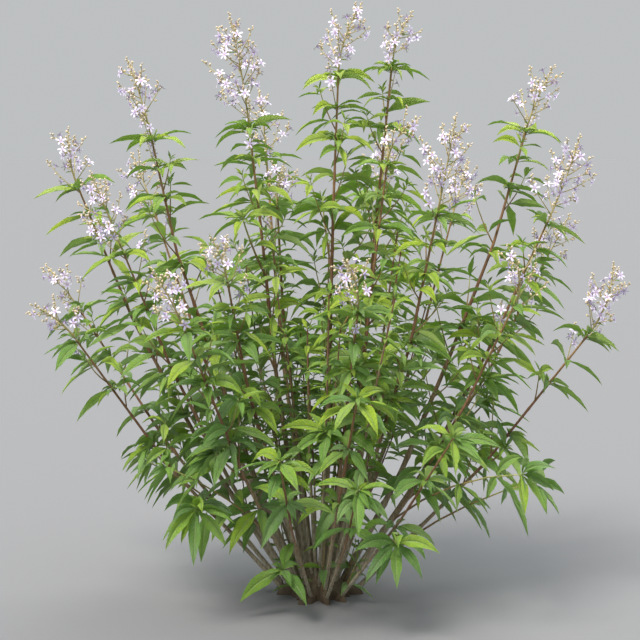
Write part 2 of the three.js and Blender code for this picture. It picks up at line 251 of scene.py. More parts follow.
# %% [markdown]
# ## Canes
#
# A cane leans out fast near the crown and straightens as it climbs, like a rib of a fan that opens. Three
# numbers of a square law give that lean for every cane, and a small sway keeps them from looking drawn
# with a ruler. The solids follow the same path in straight stretches, so these do too.

# %% Canes
STEM = Bunch(
    foot=6, foot_radius=6.6, full_height=800, tip_radius=1.6, taper=1.05, lean=(0.07, 1.25e-3, -0.45e-6),
    sway=7, sway_phase=(0, TAU, 1), sway_beat=(7, 10, 2), twist=(0, TAU, 3), step_height=210,
    ball_spacing=10,
)


def lean(z):
    """How far out a stem stands at height z, to scale: a + bz + cz²."""
    a, b, c = STEM.lean
    return a + b * z + c * z * z


def stem_path(tip, index):
    """Corners at x and y times lean(z) over lean(tip), plus a sway, and straight stretches between them."""
    x, y, height = tip
    steps = max(2, math.floor(height / STEM.step_height + 0.5))
    s = np.arange(steps + 1) / steps
    z = STEM.foot + (height - STEM.foot) * s
    share = lean(z) / lean(height)
    sway = STEM.sway * np.sin(np.pi * s) * share
    turn = vary(STEM.sway_phase, index) + vary(STEM.sway_beat, index) * s
    corners = np.stack([x * share + sway * np.cos(turn), y * share + sway * np.sin(turn), z], -1)

    def path(s):
        s = np.asarray(s, float)
        i = np.clip(np.floor(s * steps), 0, steps - 1).astype(int)
        return corners[i] + (corners[i + 1] - corners[i]) * (s * steps - i)[..., None]

    return path


def grow_stem(index, tip, bloom=None):
    """A cane: its path, its radius at s, and the side that its leaves are turned from."""
    path = stem_path(tip, index)
    twist = vary(STEM.twist, index)
    stout = (STEM.foot_radius - STEM.tip_radius) * min(1, tip[2] / STEM.full_height)
    return Bunch(
        index=index, name=f"{index + 1:02d}", tip=tip, bloom=bloom, path=path,
        side=np.array([np.cos(twist), np.sin(twist), 0]), length=np.linalg.norm(path(1) - path(0)),
        radius_at=lambda s: STEM.tip_radius + stout * (1 - s) ** STEM.taper, twigs=[],
    )


stems = [grow_stem(i, tip, bloom) for i, (tip, bloom) in enumerate(STEMS)]
blooming = [stem for stem in stems if stem.bloom]
for stem in stems:
    take(balls_along(stem, stem.radius_at, STEM.ball_spacing), stem.index)
print("the longest cane:", round(max(stem.length for stem in stems)), "mm")

# %% [markdown]
# ## Sprays and their stalks
#
# A cane that blooms runs on into a spray: a thin axis with stalks a golden angle apart, long below and
# short above, each with an open flower at its end. These claim their room before the forks and leaves do,
# so that the flowers stand free in the light.

# %% Sprays and flower stalks
SPRAY = Bunch(
    gap=0.35, radii=(1.8, 0.85), spacing=17, fewest=5, first=0.07, last=0.84, open=(44, 62, 50),
    turn=(0, TAU, 40), shortest=15, reach=0.46, size=((0.75, 1, 60), (0.35, 0.6, 60)), room=0.8,
    tries=((0, 1), (30, 1), (-30, 1), (60, 0.8), (-60, 0.8), (90, 1), (-90, 1)),
)
FLOWER = Bunch(radius=11, depth=6.5, ball_radius=7.5)


def grow_axis(stem):
    """The axis of a spray: it carries the cane's line on and turns until its end lies at `bloom`."""
    reach = np.array(stem.bloom, float)
    length = np.linalg.norm(reach)
    first = heading(stem.path, 1)
    last = reach * 2 / length - first
    return bowed(stem.path(1) + first * SPRAY.gap, length, first, last, radii=SPRAY.radii)


def stalk_balls(stalk, end_radius):
    """Small balls along a stalk, and a larger one at its end for what it carries."""
    at, radius = balls_along(stalk, 1, 7, 0.4)
    return np.vstack([at, stalk.path(1)]), np.append(radius, end_radius)


def grow_stalks(axis, number):
    """The stalks of a spray. Each reaches out by a share of what is left of the axis above it."""
    count = max(SPRAY.fewest, math.floor(axis.length / SPRAY.spacing + 0.5))
    for i in range(count):
        s = SPRAY.first + (SPRAY.last - SPRAY.first) * i / (count - 1)
        place = frames(axis.path, s, axis.side)
        share = vary(SPRAY.size[i % 2], number, i)
        angle = vary(SPRAY.open, number, i)
        around = GOLDEN * i + vary(SPRAY.turn, number)

        def plans():
            for turn, size in SPRAY.tries:
                out = leaving(place, angle, around + math.radians(turn))
                length = SPRAY.shortest + SPRAY.reach * axis.length * (1 - s) * share * size
                stalk = bowed(place.at, length, out, out, turn=i, s=s)
                stalk.balls = stalk_balls(stalk, FLOWER.ball_radius)
                yield stalk

        yield from settle(plans(), SPRAY.room)


for stem in blooming:
    stem.axis = grow_axis(stem)
for stem in blooming:
    take(balls_along(stem.axis, SPRAY.radii[0], 6, 0.05))
for stem in blooming:
    stem.stalks = list(grow_stalks(stem.axis, stem.index))
print("sprays:", len(blooming), "stalks with a flower:", sum(len(stem.stalks) for stem in blooming))

# %% [markdown]
# ## Forks
#
# Old canes fork. A fork leaves at a shallow angle, half along the cane and half outwards, and turns up to
# the light. It is a bow from a place on the cane, and it may lie against its own cane but no other.

# %% Forks
FORK = Bunch(
    spacing=400, first=0.46, next=0.2, shift=(-0.04, 0.04, 10), length=96, on_stem=700, size=(0.75, 1.3, 20),
    radii=(2.1, 1.3), side=63, along=0.79, apart=0.62, lift=0.55, ball_radius=3, room=16,
    tries=((0, 1), (40, 1), (-40, 1), (80, 1), (-80, 1), (120, 1), (-120, 1), (180, 1)),
)


def grow_forks(stem):
    """The forks of a cane, one for each 400 mm of its height, to its left and its right in turn."""
    outward = math.atan2(stem.tip[1], stem.tip[0])
    for i in range(stem.tip[2] // FORK.spacing):
        s = FORK.first + FORK.next * i + vary(FORK.shift, stem.index, i)
        full = FORK.length * vary(FORK.size, stem.index, i) * stem.length / FORK.on_stem
        side = math.radians(FORK.side if i % 2 else -FORK.side)
        along, start = heading(stem.path, s), stem.path(s)

        def plans():
            for turn, share in FORK.tries:
                way = outward + side + math.radians(turn)
                flat = np.array([math.cos(way), math.sin(way), 0])
                first = unit(along * FORK.along + flat * FORK.apart)
                fork = bowed(start, full * share, first, unit(first + UP * FORK.lift), radii=FORK.radii)
                fork.balls = balls_along(fork, FORK.ball_radius, 8, 0.3)
                yield fork

        yield from settle(plans(), FORK.room, owner=stem.index)


for stem in stems:
    stem.forks = list(grow_forks(stem))
print("forks:", sum(len(stem.forks) for stem in stems))

# %% [markdown]
# ## Leaves in whorls
#
# Lemon verbena bears its leaves in threes round the stem, and each whorl is turned against the next, so
# that it lies in the gaps. Young leaves near the tip are shorter and stand up, and old ones are longer and
# hang. A leaf is a bow that leaves its shoot at a wide angle and droops. The solids carry every second
# whorl, so those come first, in the same places.

# %% Leaves
LEAF = Bunch(
    top_length=90, low_length=106, low_at=350, size=(0.86, 1.1, 70), width=0.25, keel=0.14, widest=0.38,
    open=(54, 76, 71), low_open=12, droop=(0.75, 1.4, 72), low_droop=0.9, less_droop=0, roll=(-52, 52, 73),
    roll_share=1, radius=lambda reach: lambda s: np.maximum(2, reach * LEAF.width * half_width(s) / 2 * 0.8),
    balls=(13, 0.3), room=1, worst=None, below=0, stagger=1.5, first=0, apart=TAU / 3, lowest_height=46,
    tries=((0, 1), (22, 1), (-22, 1), (44, 1), (-44, 1), (0, 0.8), (30, 0.8), (-30, 0.8)),
)
WHORL = Bunch(first=9, gap=47, stretch=2.2, lowest=0.42, lowest_on_fork=0.3, most=40)
OUTSIDE = Bunch(starts=210, over=120, loose=0.6, less_droop=0.35, wider_gap=0.5)


def half_width(s):
    """Half a blade's width over its greatest: a sine up to the widest place and a cosine's power after it."""
    widest = LEAF.widest
    rise = np.sin(np.clip(s / widest, 0, 1) * np.pi / 2)
    fall = np.cos(np.clip((s - widest) / (1 - widest), 0, 1) * np.pi / 2) ** 1.15
    return np.where(s < widest, rise, fall)


def outside(place):
    """0 within 210 mm of the middle of the bush, and 1 beyond 330 mm of it."""
    return float(np.clip((math.hypot(place[0], place[1]) - OUTSIDE.starts) / OUTSIDE.over, 0, 1))


def grow_leaf(place, length, leaf, angle, turn, droop, habit):
    """A leaf at `angle` to its shoot that bows until it hangs, at a turn and size for which there is room."""
    roll = math.radians(vary(LEAF.roll, leaf)) * habit.roll_share

    def plans():
        for shift, size in habit.tries:
            first = leaving(place, angle, turn + math.radians(shift))
            last = unit(first - UP * droop)
            plan = bowed(place.at, length * size, first, last, place.along, leaf=leaf, roll=roll)
            plan.balls = balls_along(plan, habit.radius(length * size), *habit.balls)
            yield plan

    return settle(plans(), habit.room, habit.worst)


def whorl_down(k):
    """How far whorl k is below the tip: 9 + 47k + 2.2k² mm."""
    return WHORL.first + WHORL.gap * k + WHORL.stretch * k * k


def grow_whorls(shoot, number, whorls, habit, lowest, gaps_at=lambda *_: range(3)):
    """Leaves down from the tip, in those of whorl k's gaps that gaps_at(k, s, at) gives, by default three."""
    for k in whorls:
        down = whorl_down(k) + habit.below
        s = 1 - down / shoot.length
        if s < lowest or shoot.path(s)[2] < habit.lowest_height:
            return
        grown = min(1, down / LEAF.low_at)
        full = LEAF.top_length + (LEAF.low_length - LEAF.top_length) * grown
        for j in gaps_at(k, s, shoot.path(s)):
            place = frames(shoot.path, s + j * habit.stagger / shoot.length, shoot.side)
            leaf = number * 100 + k * 7 + habit.first + j
            angle = vary(habit.open, leaf) + LEAF.low_open * grown
            droop = vary(habit.droop, leaf) * (1 + habit.low_droop * grown)
            droop *= 1 - habit.less_droop * outside(place.at)
            turn = (np.pi / 3 if k % 4 else 0) + habit.apart * j
            yield from grow_leaf(place, full * vary(habit.size, leaf), leaf, angle, turn, droop, habit)


for stem in stems:
    number = stem.index + 1
    whorls = range(0, WHORL.most, 2)
    stem.leaves = list(grow_whorls(stem, number, whorls, LEAF, WHORL.lowest))
    for i, fork in enumerate(stem.forks):
        stem.leaves += grow_whorls(fork, number * 40 + i, [0], LEAF, WHORL.lowest_on_fork)
print("leaves that the solids have, too:", sum(len(stem.leaves) for stem in stems))

# %% [markdown]
# ## What grows between the large leaves
#
# The real bush is far denser than its solids: it has whorls in between, a pair of small leaves in the
# angle of each large one, and tufts that close the tips. A crowded leaf takes the roomiest of a few turns
# instead of giving up, as a real one squeezes past its neighbours. On the outside of the bush leaves stand
# looser, because only the light there holds them apart.

# %% Small leaves
SMALL_LEAF = dict(
    tries=((0, 1), (28, 1), (-28, 1), (55, 0.8), (-55, 0.8)), roll_share=0.6, balls=(14, 0.35), room=1.0,
    worst=-2.6, radius=lambda reach: max(1.2, 0.08 * reach), less_droop=OUTSIDE.less_droop,
)
FILL = Bunch(
    size=(0.72, 1.04, 70), open=(46, 72, 71), droop=(1.2, 2.6, 79), low_droop=0, lowest_height=105, tall=625,
    low_share=(0.2, 0.42), below=4, stagger=0.7, first=3, apart=np.pi / 3, own=(1, 3, 5),
    own_outside=(1, 4), bare=(0, 1, 2, 3, 4, 5), odd=(0.3, 2.2, 4.4), **SMALL_LEAF,
)
TUFT = Bunch(sizes=(60, 40, 24, 13), angles=(58, 44, 40, 22), droop=0.7, pitch=2.0, turn=0.4, **SMALL_LEAF)
ANGLE_LEAF = Bunch(
    size=(18, 58, 80), angle=(36, 68, 81), droop=1.1, up=3, away=0.55, lowest_height=420, **SMALL_LEAF,
)


def gaps_left(bare_below=0.0):
    """The gaps to fill: where the solids have a whorl (even k, above the share `bare_below`), its gaps."""

    def gaps(k, s, at):
        if k % 2 or s < bare_below:
            return FILL.odd if k % 2 else FILL.bare
        return FILL.own_outside if outside(at) > OUTSIDE.loose else FILL.own

    return gaps


def tuft(shoot, number, size=1.0, first=0):
    """Up to four pairs of ever smaller and steeper leaves that close the tip of a shoot."""
    for i in range(first, len(TUFT.sizes)):
        place = frames(shoot.path, 1 - (3 - i) * TUFT.pitch / shoot.length, shoot.side)
        for j in range(2):
            turn = np.pi / 2 * i + np.pi * j + TUFT.turn
            leaf = number * 31 + i * 2 + j
            yield from grow_leaf(place, TUFT.sizes[i] * size, leaf, TUFT.angles[i], turn, TUFT.droop, TUFT)


def angle_leaves(leaves):
    """Two small leaves in the angle of each large one, one to each side of it."""
    for large in leaves:
        for j in (-1, 1):
            leaf = large.leaf * 2 + j + 0.5
            away = np.cross(large.side, large.first) * j * ANGLE_LEAF.away
            across = unit(large.first - large.side * (large.first @ large.side) + away)
            place = frame_at(large.start + large.side * (ANGLE_LEAF.up + j), large.side, across)
            length, angle = vary(ANGLE_LEAF.size, leaf), vary(ANGLE_LEAF.angle, leaf)
            yield from grow_leaf(place, length, leaf, angle, 0.0, ANGLE_LEAF.droop, ANGLE_LEAF)


for stem in stems:
    number = stem.index + 1
    low = FILL.low_share[stem.tip[2] > FILL.tall]
    whorls = [0, 1, *range(2, WHORL.most, 2)] if stem.bloom else [0, 0.4]
    stem.filled = list(grow_whorls(stem, number, whorls, FILL, low, gaps_left(WHORL.lowest)))
    stem.more = list(stem.filled)
    for i, fork in enumerate(stem.forks):
        stem.more += grow_whorls(fork, number * 40 + i, [0, 1], FILL, 0.1, gaps_left())
        stem.more += tuft(fork, 5000 + stem.index * 4 + i)
    if not stem.bloom:
        stem.more += tuft(stem, 6000 + stem.index, 1.0, 1)
print("leaves in between:", sum(len(stem.more) for stem in stems))

# %% [markdown]
# ## Leafy side shoots
#
# From most nodes of an old cane grows a thin shoot of this year with leaves of its own. It is longer the
# further it is from the tip, because it has had more time, and it bows up to the light. The nodes lie a
# golden angle apart, which spreads shoots evenly round a cane at any number of them.

# %% Side shoots
TWIG = Bunch(
    first=96, gap=50, stretch=0.07, lowest=0.24, lowest_height=150, upward=0.5, size=(0.75, 1.25, 85),
    base=52, with_down=0.17, longest=170, angle=(32, 50, 86), lift=0.95, radii=(1.35, 0.75),
    first_leaf=9.0, node_gap=42, gap_size=(0.85, 1.2, 84), tip_leaf=54, low_leaf=88, on_long=60, leafy=0.86,
    leaf_size=(0.8, 1.15, 82), open=(46, 74, 83), droop=(0.7, 1.9, 78), turns=(0, 0.5, -0.5, 1.0, -1.0),
    clear=4.0, roomiest=-1.5,
    **SMALL_LEAF,
)


def grow_twig(place, length, number, turn, angle, lift=TWIG.lift):
    """A side shoot: it leaves at `angle` and bows upwards."""
    first = leaving(place, angle, turn)
    twig = bowed(place.at, length, first, unit(first + UP * lift), number=number, radii=TWIG.radii)
    twig.balls = balls_along(twig, 1.5, 10, 0.4)
    return twig


def twig_leaves(twig, scale=1.0):
    """Whorls of three, ever larger from the tip down, and a tuft at the tip."""
    yield from tuft(twig, twig.number, scale, 2)
    down, k = TWIG.first_leaf, 0
    while down < twig.length * TWIG.leafy:
        share = min(1, down / TWIG.on_long)
        full = (TWIG.tip_leaf + (TWIG.low_leaf - TWIG.tip_leaf) * share) * scale
        for j in range(3):
            leaf = twig.number * 17 + k * 3 + j
            place = frames(twig.path, 1 - (down + j) / twig.length, twig.side)
            turn = np.pi / 3 * k + TAU * j / 3
            length, angle = full * vary(TWIG.leaf_size, leaf), vary(TWIG.open, leaf)
            droop = vary(TWIG.droop, leaf) * scale * (1 - OUTSIDE.less_droop * outside(place.at))
            yield from grow_leaf(place, length, leaf, angle, turn, droop, TWIG)
        wider = 1 + OUTSIDE.wider_gap * outside(twig.path(1))
        down += TWIG.node_gap * vary(TWIG.gap_size, twig.number + k) * wider
        k += 1


def side_shoots(stem):
    """Shoots from the nodes of a cane, for as long as one lies high enough up it."""
    node, down = 0, TWIG.first
    while True:
        s = 1 - down / stem.length
        if s < TWIG.lowest or stem.path(s)[2] < TWIG.lowest_height:
            return
        number = 7000 + stem.index * 60 + node * 2
        full = (TWIG.base + TWIG.with_down * down) * vary(TWIG.size, number)
        place = frames(stem.path, s, stem.side)
        angle = vary(TWIG.angle, number)
        plans = (
            grow_twig(place, min(full, TWIG.longest), number, GOLDEN * node + shift, angle)
            for shift in TWIG.turns
        )
        yield from (twig for twig in settle(plans, TWIG.clear, TWIG.roomiest) if twig.first[2] > TWIG.upward)
        node += 1
        down += TWIG.gap + TWIG.stretch * down


for stem in stems:
    stem.twigs = list(side_shoots(stem)) if stem.bloom else []
    for twig in stem.twigs:
        stem.more += twig_leaves(twig)
    high = [leaf for leaf in stem.filled if leaf.start[2] > ANGLE_LEAF.lowest_height]
    stem.more += angle_leaves(stem.leaves + high)
print("side shoots:", sum(len(stem.twigs) for stem in stems))
print("leaves in between, with theirs:", sum(len(stem.more) for stem in stems))

# %% [markdown]
# ## Low shoots
#
# A few long shoots near the ground reach far out of the bush and end in a fan of leaves. Each is listed by
# its cane, the share of the way up where it leaves, and its tip. The bow that reaches a given tip has a
# last direction of twice the way there less the first.

# %% Low shoots
LOW_SHOOTS = [
    (13, 0.2, (366, -120, 226)), (14, 0.26, (334, -230, 262)), (7, 0.22, (-250, -170, 262)),
    (6, 0.27, (-196, -210, 196)), (27, 0.34, (124, -270, 156)), (22, 0.25, (-300, 60, 220)),
    (21, 0.25, (300, 150, 230)), (19, 0.16, (-60, 250, 220)),
]
for i, (index, s, tip) in enumerate(LOW_SHOOTS):
    stem = stems[index]
    start = stem.path(s)
    reach = np.array(tip, float) - start
    length = np.linalg.norm(reach)
    first = unit(heading(stem.path, s) + reach / length)
    shoot = bowed(start, length, first, reach * 2 / length - first, radii=(2.0, 1.0))
    take(balls_along(shoot, 2, 10, 0.3))
    stem.twigs.append(shoot)
    stem.more += grow_whorls(shoot, 850 + i, [0, 1, 2.4], FILL, 0.12, gaps_left(2.0))
    stem.more += tuft(shoot, 8500 + i, 1.0, 2)
print("low shoots:", len(LOW_SHOOTS))

# %% [markdown]
# ## Young canes and shoots from the crown
#
# Each spring the crown sends up new wood. Young canes of all heights fill the inside of the bush, with
# pairs of small leaves on their upper part, and between the old feet stand short shoots. A golden angle
# between one and the next spreads them round the crown without a pattern that the eye could find.

# %% Young canes and basal shoots
BASAL = Bunch(
    count=8, heights=(60, 150, 88), reach=(0.5, 0.95, 87), out=(0.25, 0.75, 89), foot=(70, 66, 0),
    foot_height=12, lift=1.4, radii=(1.7, 0.8), leaf_scale=0.6,
)
YOUNG_CANE = Bunch(
    count=30, heights=(250, 640, 74), reach=(0.14, 0.56, 75), foot_radius=(2.4, 4.2, 76), tip_radius=1.1,
    leafy=0.42, pitch=24, size=(24, 50, 77), angle=(50, 80, 78), droop=1.0, tuft_scale=0.8, **SMALL_LEAF,
)


def basal_shoot(i):
    """A short shoot that leaves the crown upwards and outwards and bows up."""
    number, way = 9000 + i * 5, GOLDEN * i + 0.6
    ways = np.array([math.cos(way), math.sin(way), 0])
    foot = ways * BASAL.foot * vary(BASAL.reach, number) + UP * BASAL.foot_height
    out = ways * vary(BASAL.out, number)
    first, last = unit(UP + out), unit(UP * BASAL.lift + out)
    return bowed(foot, vary(BASAL.heights, number), first, last, number=number, radii=BASAL.radii)


def young_cane(i):
    """A cane like the old ones, but thin and evenly tapered."""
    number, way = 9500 + i, GOLDEN * i + 0.2
    height = vary(YOUNG_CANE.heights, number)
    reach = height * vary(YOUNG_CANE.reach, number)
    cane = grow_stem(number, (reach * math.cos(way), reach * math.sin(way), height))
    foot = vary(YOUNG_CANE.foot_radius, number)
    cane.radius_at = lambda s: foot + (YOUNG_CANE.tip_radius - foot) * s
    return cane


def young_leaves(cane):
    """Pairs of small leaves, each pair across the last, down from the tip of a young cane, and its tuft."""
    for j in range(int(cane.length * (1 - YOUNG_CANE.leafy) / YOUNG_CANE.pitch)):
        place = frames(cane.path, 1 - (j + 0.3) * YOUNG_CANE.pitch / cane.length, cane.side)
        for k in range(2):
            leaf = cane.index * 23 + j * 2 + k
            length, angle = vary(YOUNG_CANE.size, leaf), vary(YOUNG_CANE.angle, leaf)
            turn = np.pi / 2 * j + np.pi * k
            yield from grow_leaf(place, length, leaf, angle, turn, YOUNG_CANE.droop, YOUNG_CANE)
    yield from tuft(cane, cane.index, YOUNG_CANE.tuft_scale, 1)


young_canes, crown_leaves = [young_cane(i) for i in range(YOUNG_CANE.count)], []
for cane in young_canes:
    crown_leaves += young_leaves(cane)
crown_shoots = [basal_shoot(i) for i in range(BASAL.count)]
for shoot in crown_shoots:
    take(balls_along(shoot, 1.5, 10, 0.2))
    crown_leaves += twig_leaves(shoot, BASAL.leaf_scale)
print("young canes:", len(young_canes), "basal shoots:", len(crown_shoots), "leaves:", len(crown_leaves))

# %% [markdown]
# ## One kind of skin for everything
#
# A leaf, a petal, a stalk and a cane are the same shape to a geometer: a closed loop of points carried
# along a path, with a pole at each end. Blender's own way is a curve with a bevel, but a bevel can't fold
# a blade along its midrib or swell a cane at its nodes. So the loops are worked out for hundreds of pieces
# at once as numpy arrays, and each stem's worth of them becomes one mesh.


# %% Loops carried along paths
def gather(items, name):
    """One value of each item, as an array."""
    return np.array([getattr(item, name) for item in items], float)


def bows(items):
    """The paths of many items as one: a path of s of shape (R,) gives points of shape (N, R, 3)."""
    start, first, last = (gather(items, name)[:, None] for name in ("start", "first", "last"))
    return bow(start, gather(items, "length")[:, None, None], first, last)


def bow_ends(items):
    """Where each bow starts and ends, which are the poles of its skin."""
    return bows(items)(np.array([0.0, 1.0]))


def circle(points):
    """The angles of points spread evenly round a circle."""
    return TAU * np.arange(points) / points


def round_section(radius, points):
    """radius cos(angle) and radius sin(angle), for a radius that may differ by ring and by angle."""
    return np.stack([radius * np.cos(circle(points)), radius * np.sin(circle(points))], -1)


def skin(rings, ends, s, across_uv=None, under=(), **values):
    """A closed skin for each of N pieces, from rings (N, R, L, 3) and two poles (N, 2, 3).

    Corner a of ring r, corner a + 1, and the same two of ring r + 1 make a four-sided face. Each end is a
    fan of triangles round its pole. The u of corner a is across_uv[a], by default its share of the loop, and
    the v of ring r is s[r]. The faces that start at the corners in `under` are the underside.
    """
    count, rows, loop = rings.shape[:3]
    a = np.arange(loop)
    b = (a + 1) % loop
    row = 1 + np.arange(rows - 1)[:, None] * loop
    top = 1 + (rows - 1) * loop
    quads = np.stack([row + a, row + b, row + loop + b, row + loop + a], -1).reshape(-1, 4)
    fans = np.concatenate([
        np.stack([0 * a, 1 + b, 1 + a], -1), np.stack([0 * a + 1 + rows * loop, top + a, top + b], -1),
    ])
    u = np.arange(loop + 1) / loop if across_uv is None else np.array(across_uv, float)
    left, right, middle, v = u[:-1], u[1:], (u[:-1] + u[1:]) / 2, np.array([0, *s, 1])
    quad_u = np.tile(np.stack([left, right, right, left], -1), (rows - 1, 1))
    quad_v = np.repeat(np.stack([v[1:-2], v[1:-2], v[2:-1], v[2:-1]], -1), loop, 0)
    fan_u = np.concatenate([np.stack([middle, right, left], -1), np.stack([middle, left, right], -1)])
    fan_v = np.repeat([v[[0, 1, 1]], v[[-1, -2, -2]]], loop, 0)
    points = np.concatenate([ends[:, :1], rings.reshape(count, rows * loop, 3), ends[:, 1:]], 1)
    spread = {}
    for name, value in values.items():
        if value.ndim == 1:
            spread[name] = np.broadcast_to(value[:, None], points.shape[:2])
        else:
            value = np.broadcast_to(value, (count, rows))
            spread[name] = np.concatenate([value[:, :1], np.repeat(value, loop, 1), value[:, -1:]], 1)
    return Bunch(points=points, values=spread, faces=(
        (quads, np.stack([quad_u, quad_v], -1), np.isin(np.tile(a, rows - 1), under)),
        (fans, np.stack([fan_u, fan_v], -1), np.isin(np.tile(a, 2), under)),
    ))


def carry(place, section, ends, s, roll=0.0, **more):
    """The rings of `skin`: place + across (x cos roll - y sin roll) + front (x sin roll + y cos roll)."""
    x, y = section[..., 0], section[..., 1]
    cos, sin = np.cos(roll)[..., None], np.sin(roll)[..., None]
    across = (x * cos - y * sin)[..., None] * place.across[:, :, None]
    front = (x * sin + y * cos)[..., None] * place.front[:, :, None]
    return skin(place.at[:, :, None] + across + front, ends, s, **more)


print("a tube of three rings of five points has", 2 * 5 + 2 * 2 * 5, "triangles")

# %% From skins to a piece
SHARP = 50
triangles_made = {}


def make_piece(name, skins, material, nodes=()):
    """One mesh, in metres, from many skins. Its triangles are counted under the first words of its name."""
    points, faces, uv, below = [], [], [], []
    for one in skins:
        count, size = one.points.shape[:2]
        starts = sum(map(len, points)) + np.arange(count)[:, None, None] * size
        for corners, face_uv, under in one.faces:
            faces += (starts + corners).reshape(-1, corners.shape[1]).tolist()
            uv.append(np.tile(face_uv.ravel(), count))
            below.append(np.tile(under, count))
        points.append(one.points.reshape(-1, 3))
    below = np.concatenate(below)
    mesh = bpy.data.meshes.new(name)
    mesh.from_pydata(np.concatenate(points) * MM, [], faces)
    mesh.shade_smooth()
    mesh.set_sharp_from_angle(angle=math.radians(SHARP))
    mesh.uv_layers.new(name="skin").uv.foreach_set("vector", np.concatenate(uv))
    for key in skins[0].values:
        value = np.concatenate([one.values[key].reshape(-1) for one in skins])
        mesh.attributes.new(key, "FLOAT", "POINT").data.foreach_set("value", value)
    if below.any():
        mesh.attributes.new("underside", "FLOAT", "FACE").data.foreach_set("value", below.astype(float))
    mesh.materials.append(material)
    piece = bpy.data.objects.new(name, mesh)
    bpy.context.scene.collection.objects.link(piece)
    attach(piece, "root")
    if nodes:
        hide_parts(*nodes)
    kind = name.rstrip("0123456789_")
    triangles_made[kind] = triangles_made.get(kind, 0) + sum(len(face) - 2 for face in faces)


print("an edge is sharp from", SHARP, "degrees")

# %% [markdown]
# ## Materials
#
# Each material starts from what the real surface is. One function turns a hex colour into the linear
# numbers that Blender wants, and one adds a node: its inputs follow in their order or by name, and each
# may be a plain value or what another node gives out. A pattern's scale is how many of its cells go into a
# metre, so each stands with the size in millimetres that it comes from.


# %% Colours and nodes
def linear(hex_colour):
    """An sRGB hex colour as linear RGBA: c/12.92 below 0.04045, and ((c + 0.055)/1.055)^2.4 above."""
    value = [int(hex_colour[i:i + 2], 16) / 255 for i in (1, 3, 5)]
    return (*[c / 12.92 if c <= 0.04045 else ((c + 0.055) / 1.055) ** 2.4 for c in value], 1.0)


def add_node(tree, kind, *inputs, give=0, stops=(), **settings):
    """Adds a node with inputs in their order, or one dict of them by name, and returns its output `give`."""
    node = tree.nodes.new("ShaderNode" + kind)
    for key, value in settings.items():
        setattr(node, key, value)
    for i, (position, colour) in enumerate(stops):
        ramp = node.color_ramp.elements
        stop = ramp[i] if i < len(ramp) else ramp.new(position)
        stop.position, stop.color = position, linear(colour)
    by_name = inputs and isinstance(inputs[0], dict)
    for key, value in inputs[0].items() if by_name else enumerate(inputs):
        if isinstance(value, bpy.types.NodeSocket):
            tree.links.new(value, node.inputs[key])
        else:
            node.inputs[key].default_value = value
    return node.outputs[give] if node.outputs else node


def new_material(name, shader_nodes, *values):
    """A material whose shader is what the function `shader_nodes` makes in its empty tree."""
    material = bpy.data.materials.new(name)
    material.use_nodes = True
    material.node_tree.nodes.clear()
    add = partial(add_node, material.node_tree)
    add("OutputMaterial", shader_nodes(add, *values), is_active_output=True)
    return material


print("a middle grey is", round(linear("#808080")[0], 3), "in linear light")

# %% [markdown]
# ## The leaf
#
# A lemon verbena leaf is rough to the touch, because the blade bulges up in a net of small cells between
# its veins, and it has a soft gloss that breaks up on them. The midrib and some fourteen pairs of side
# veins are paler, and the underside is a greyer green. Young leaves are yellow-green and old ones deep
# green, so every leaf carries its own tone, and the tone is also raised higher up the bush as painted
# light. Broad patches of pale silvery green are a painted sheen. The veins are lines of the leaf's own UV
# map: v runs from the stalk to the tip and u from edge to edge. A good share of the light goes through,
# which makes it glow.

# %% Leaf material
VEIN_PAIRS = 14
VEIN_SLANT = -1.7
CELLS = 560.0  # cells of the net, 1.8 mm wide
MOTTLES = 240.0  # patches of lighter and darker green, 4 mm wide
SHEEN_PATCHES = 17.0  # patches of a painted sheen, 60 mm wide
THROUGH = 0.42
LEAF_COLOURS = ((0.0, "#345a28"), (0.28, "#5f8f45"), (0.52, "#7fab40"), (0.78, "#a9c72a"), (1.0, "#c4d838"))


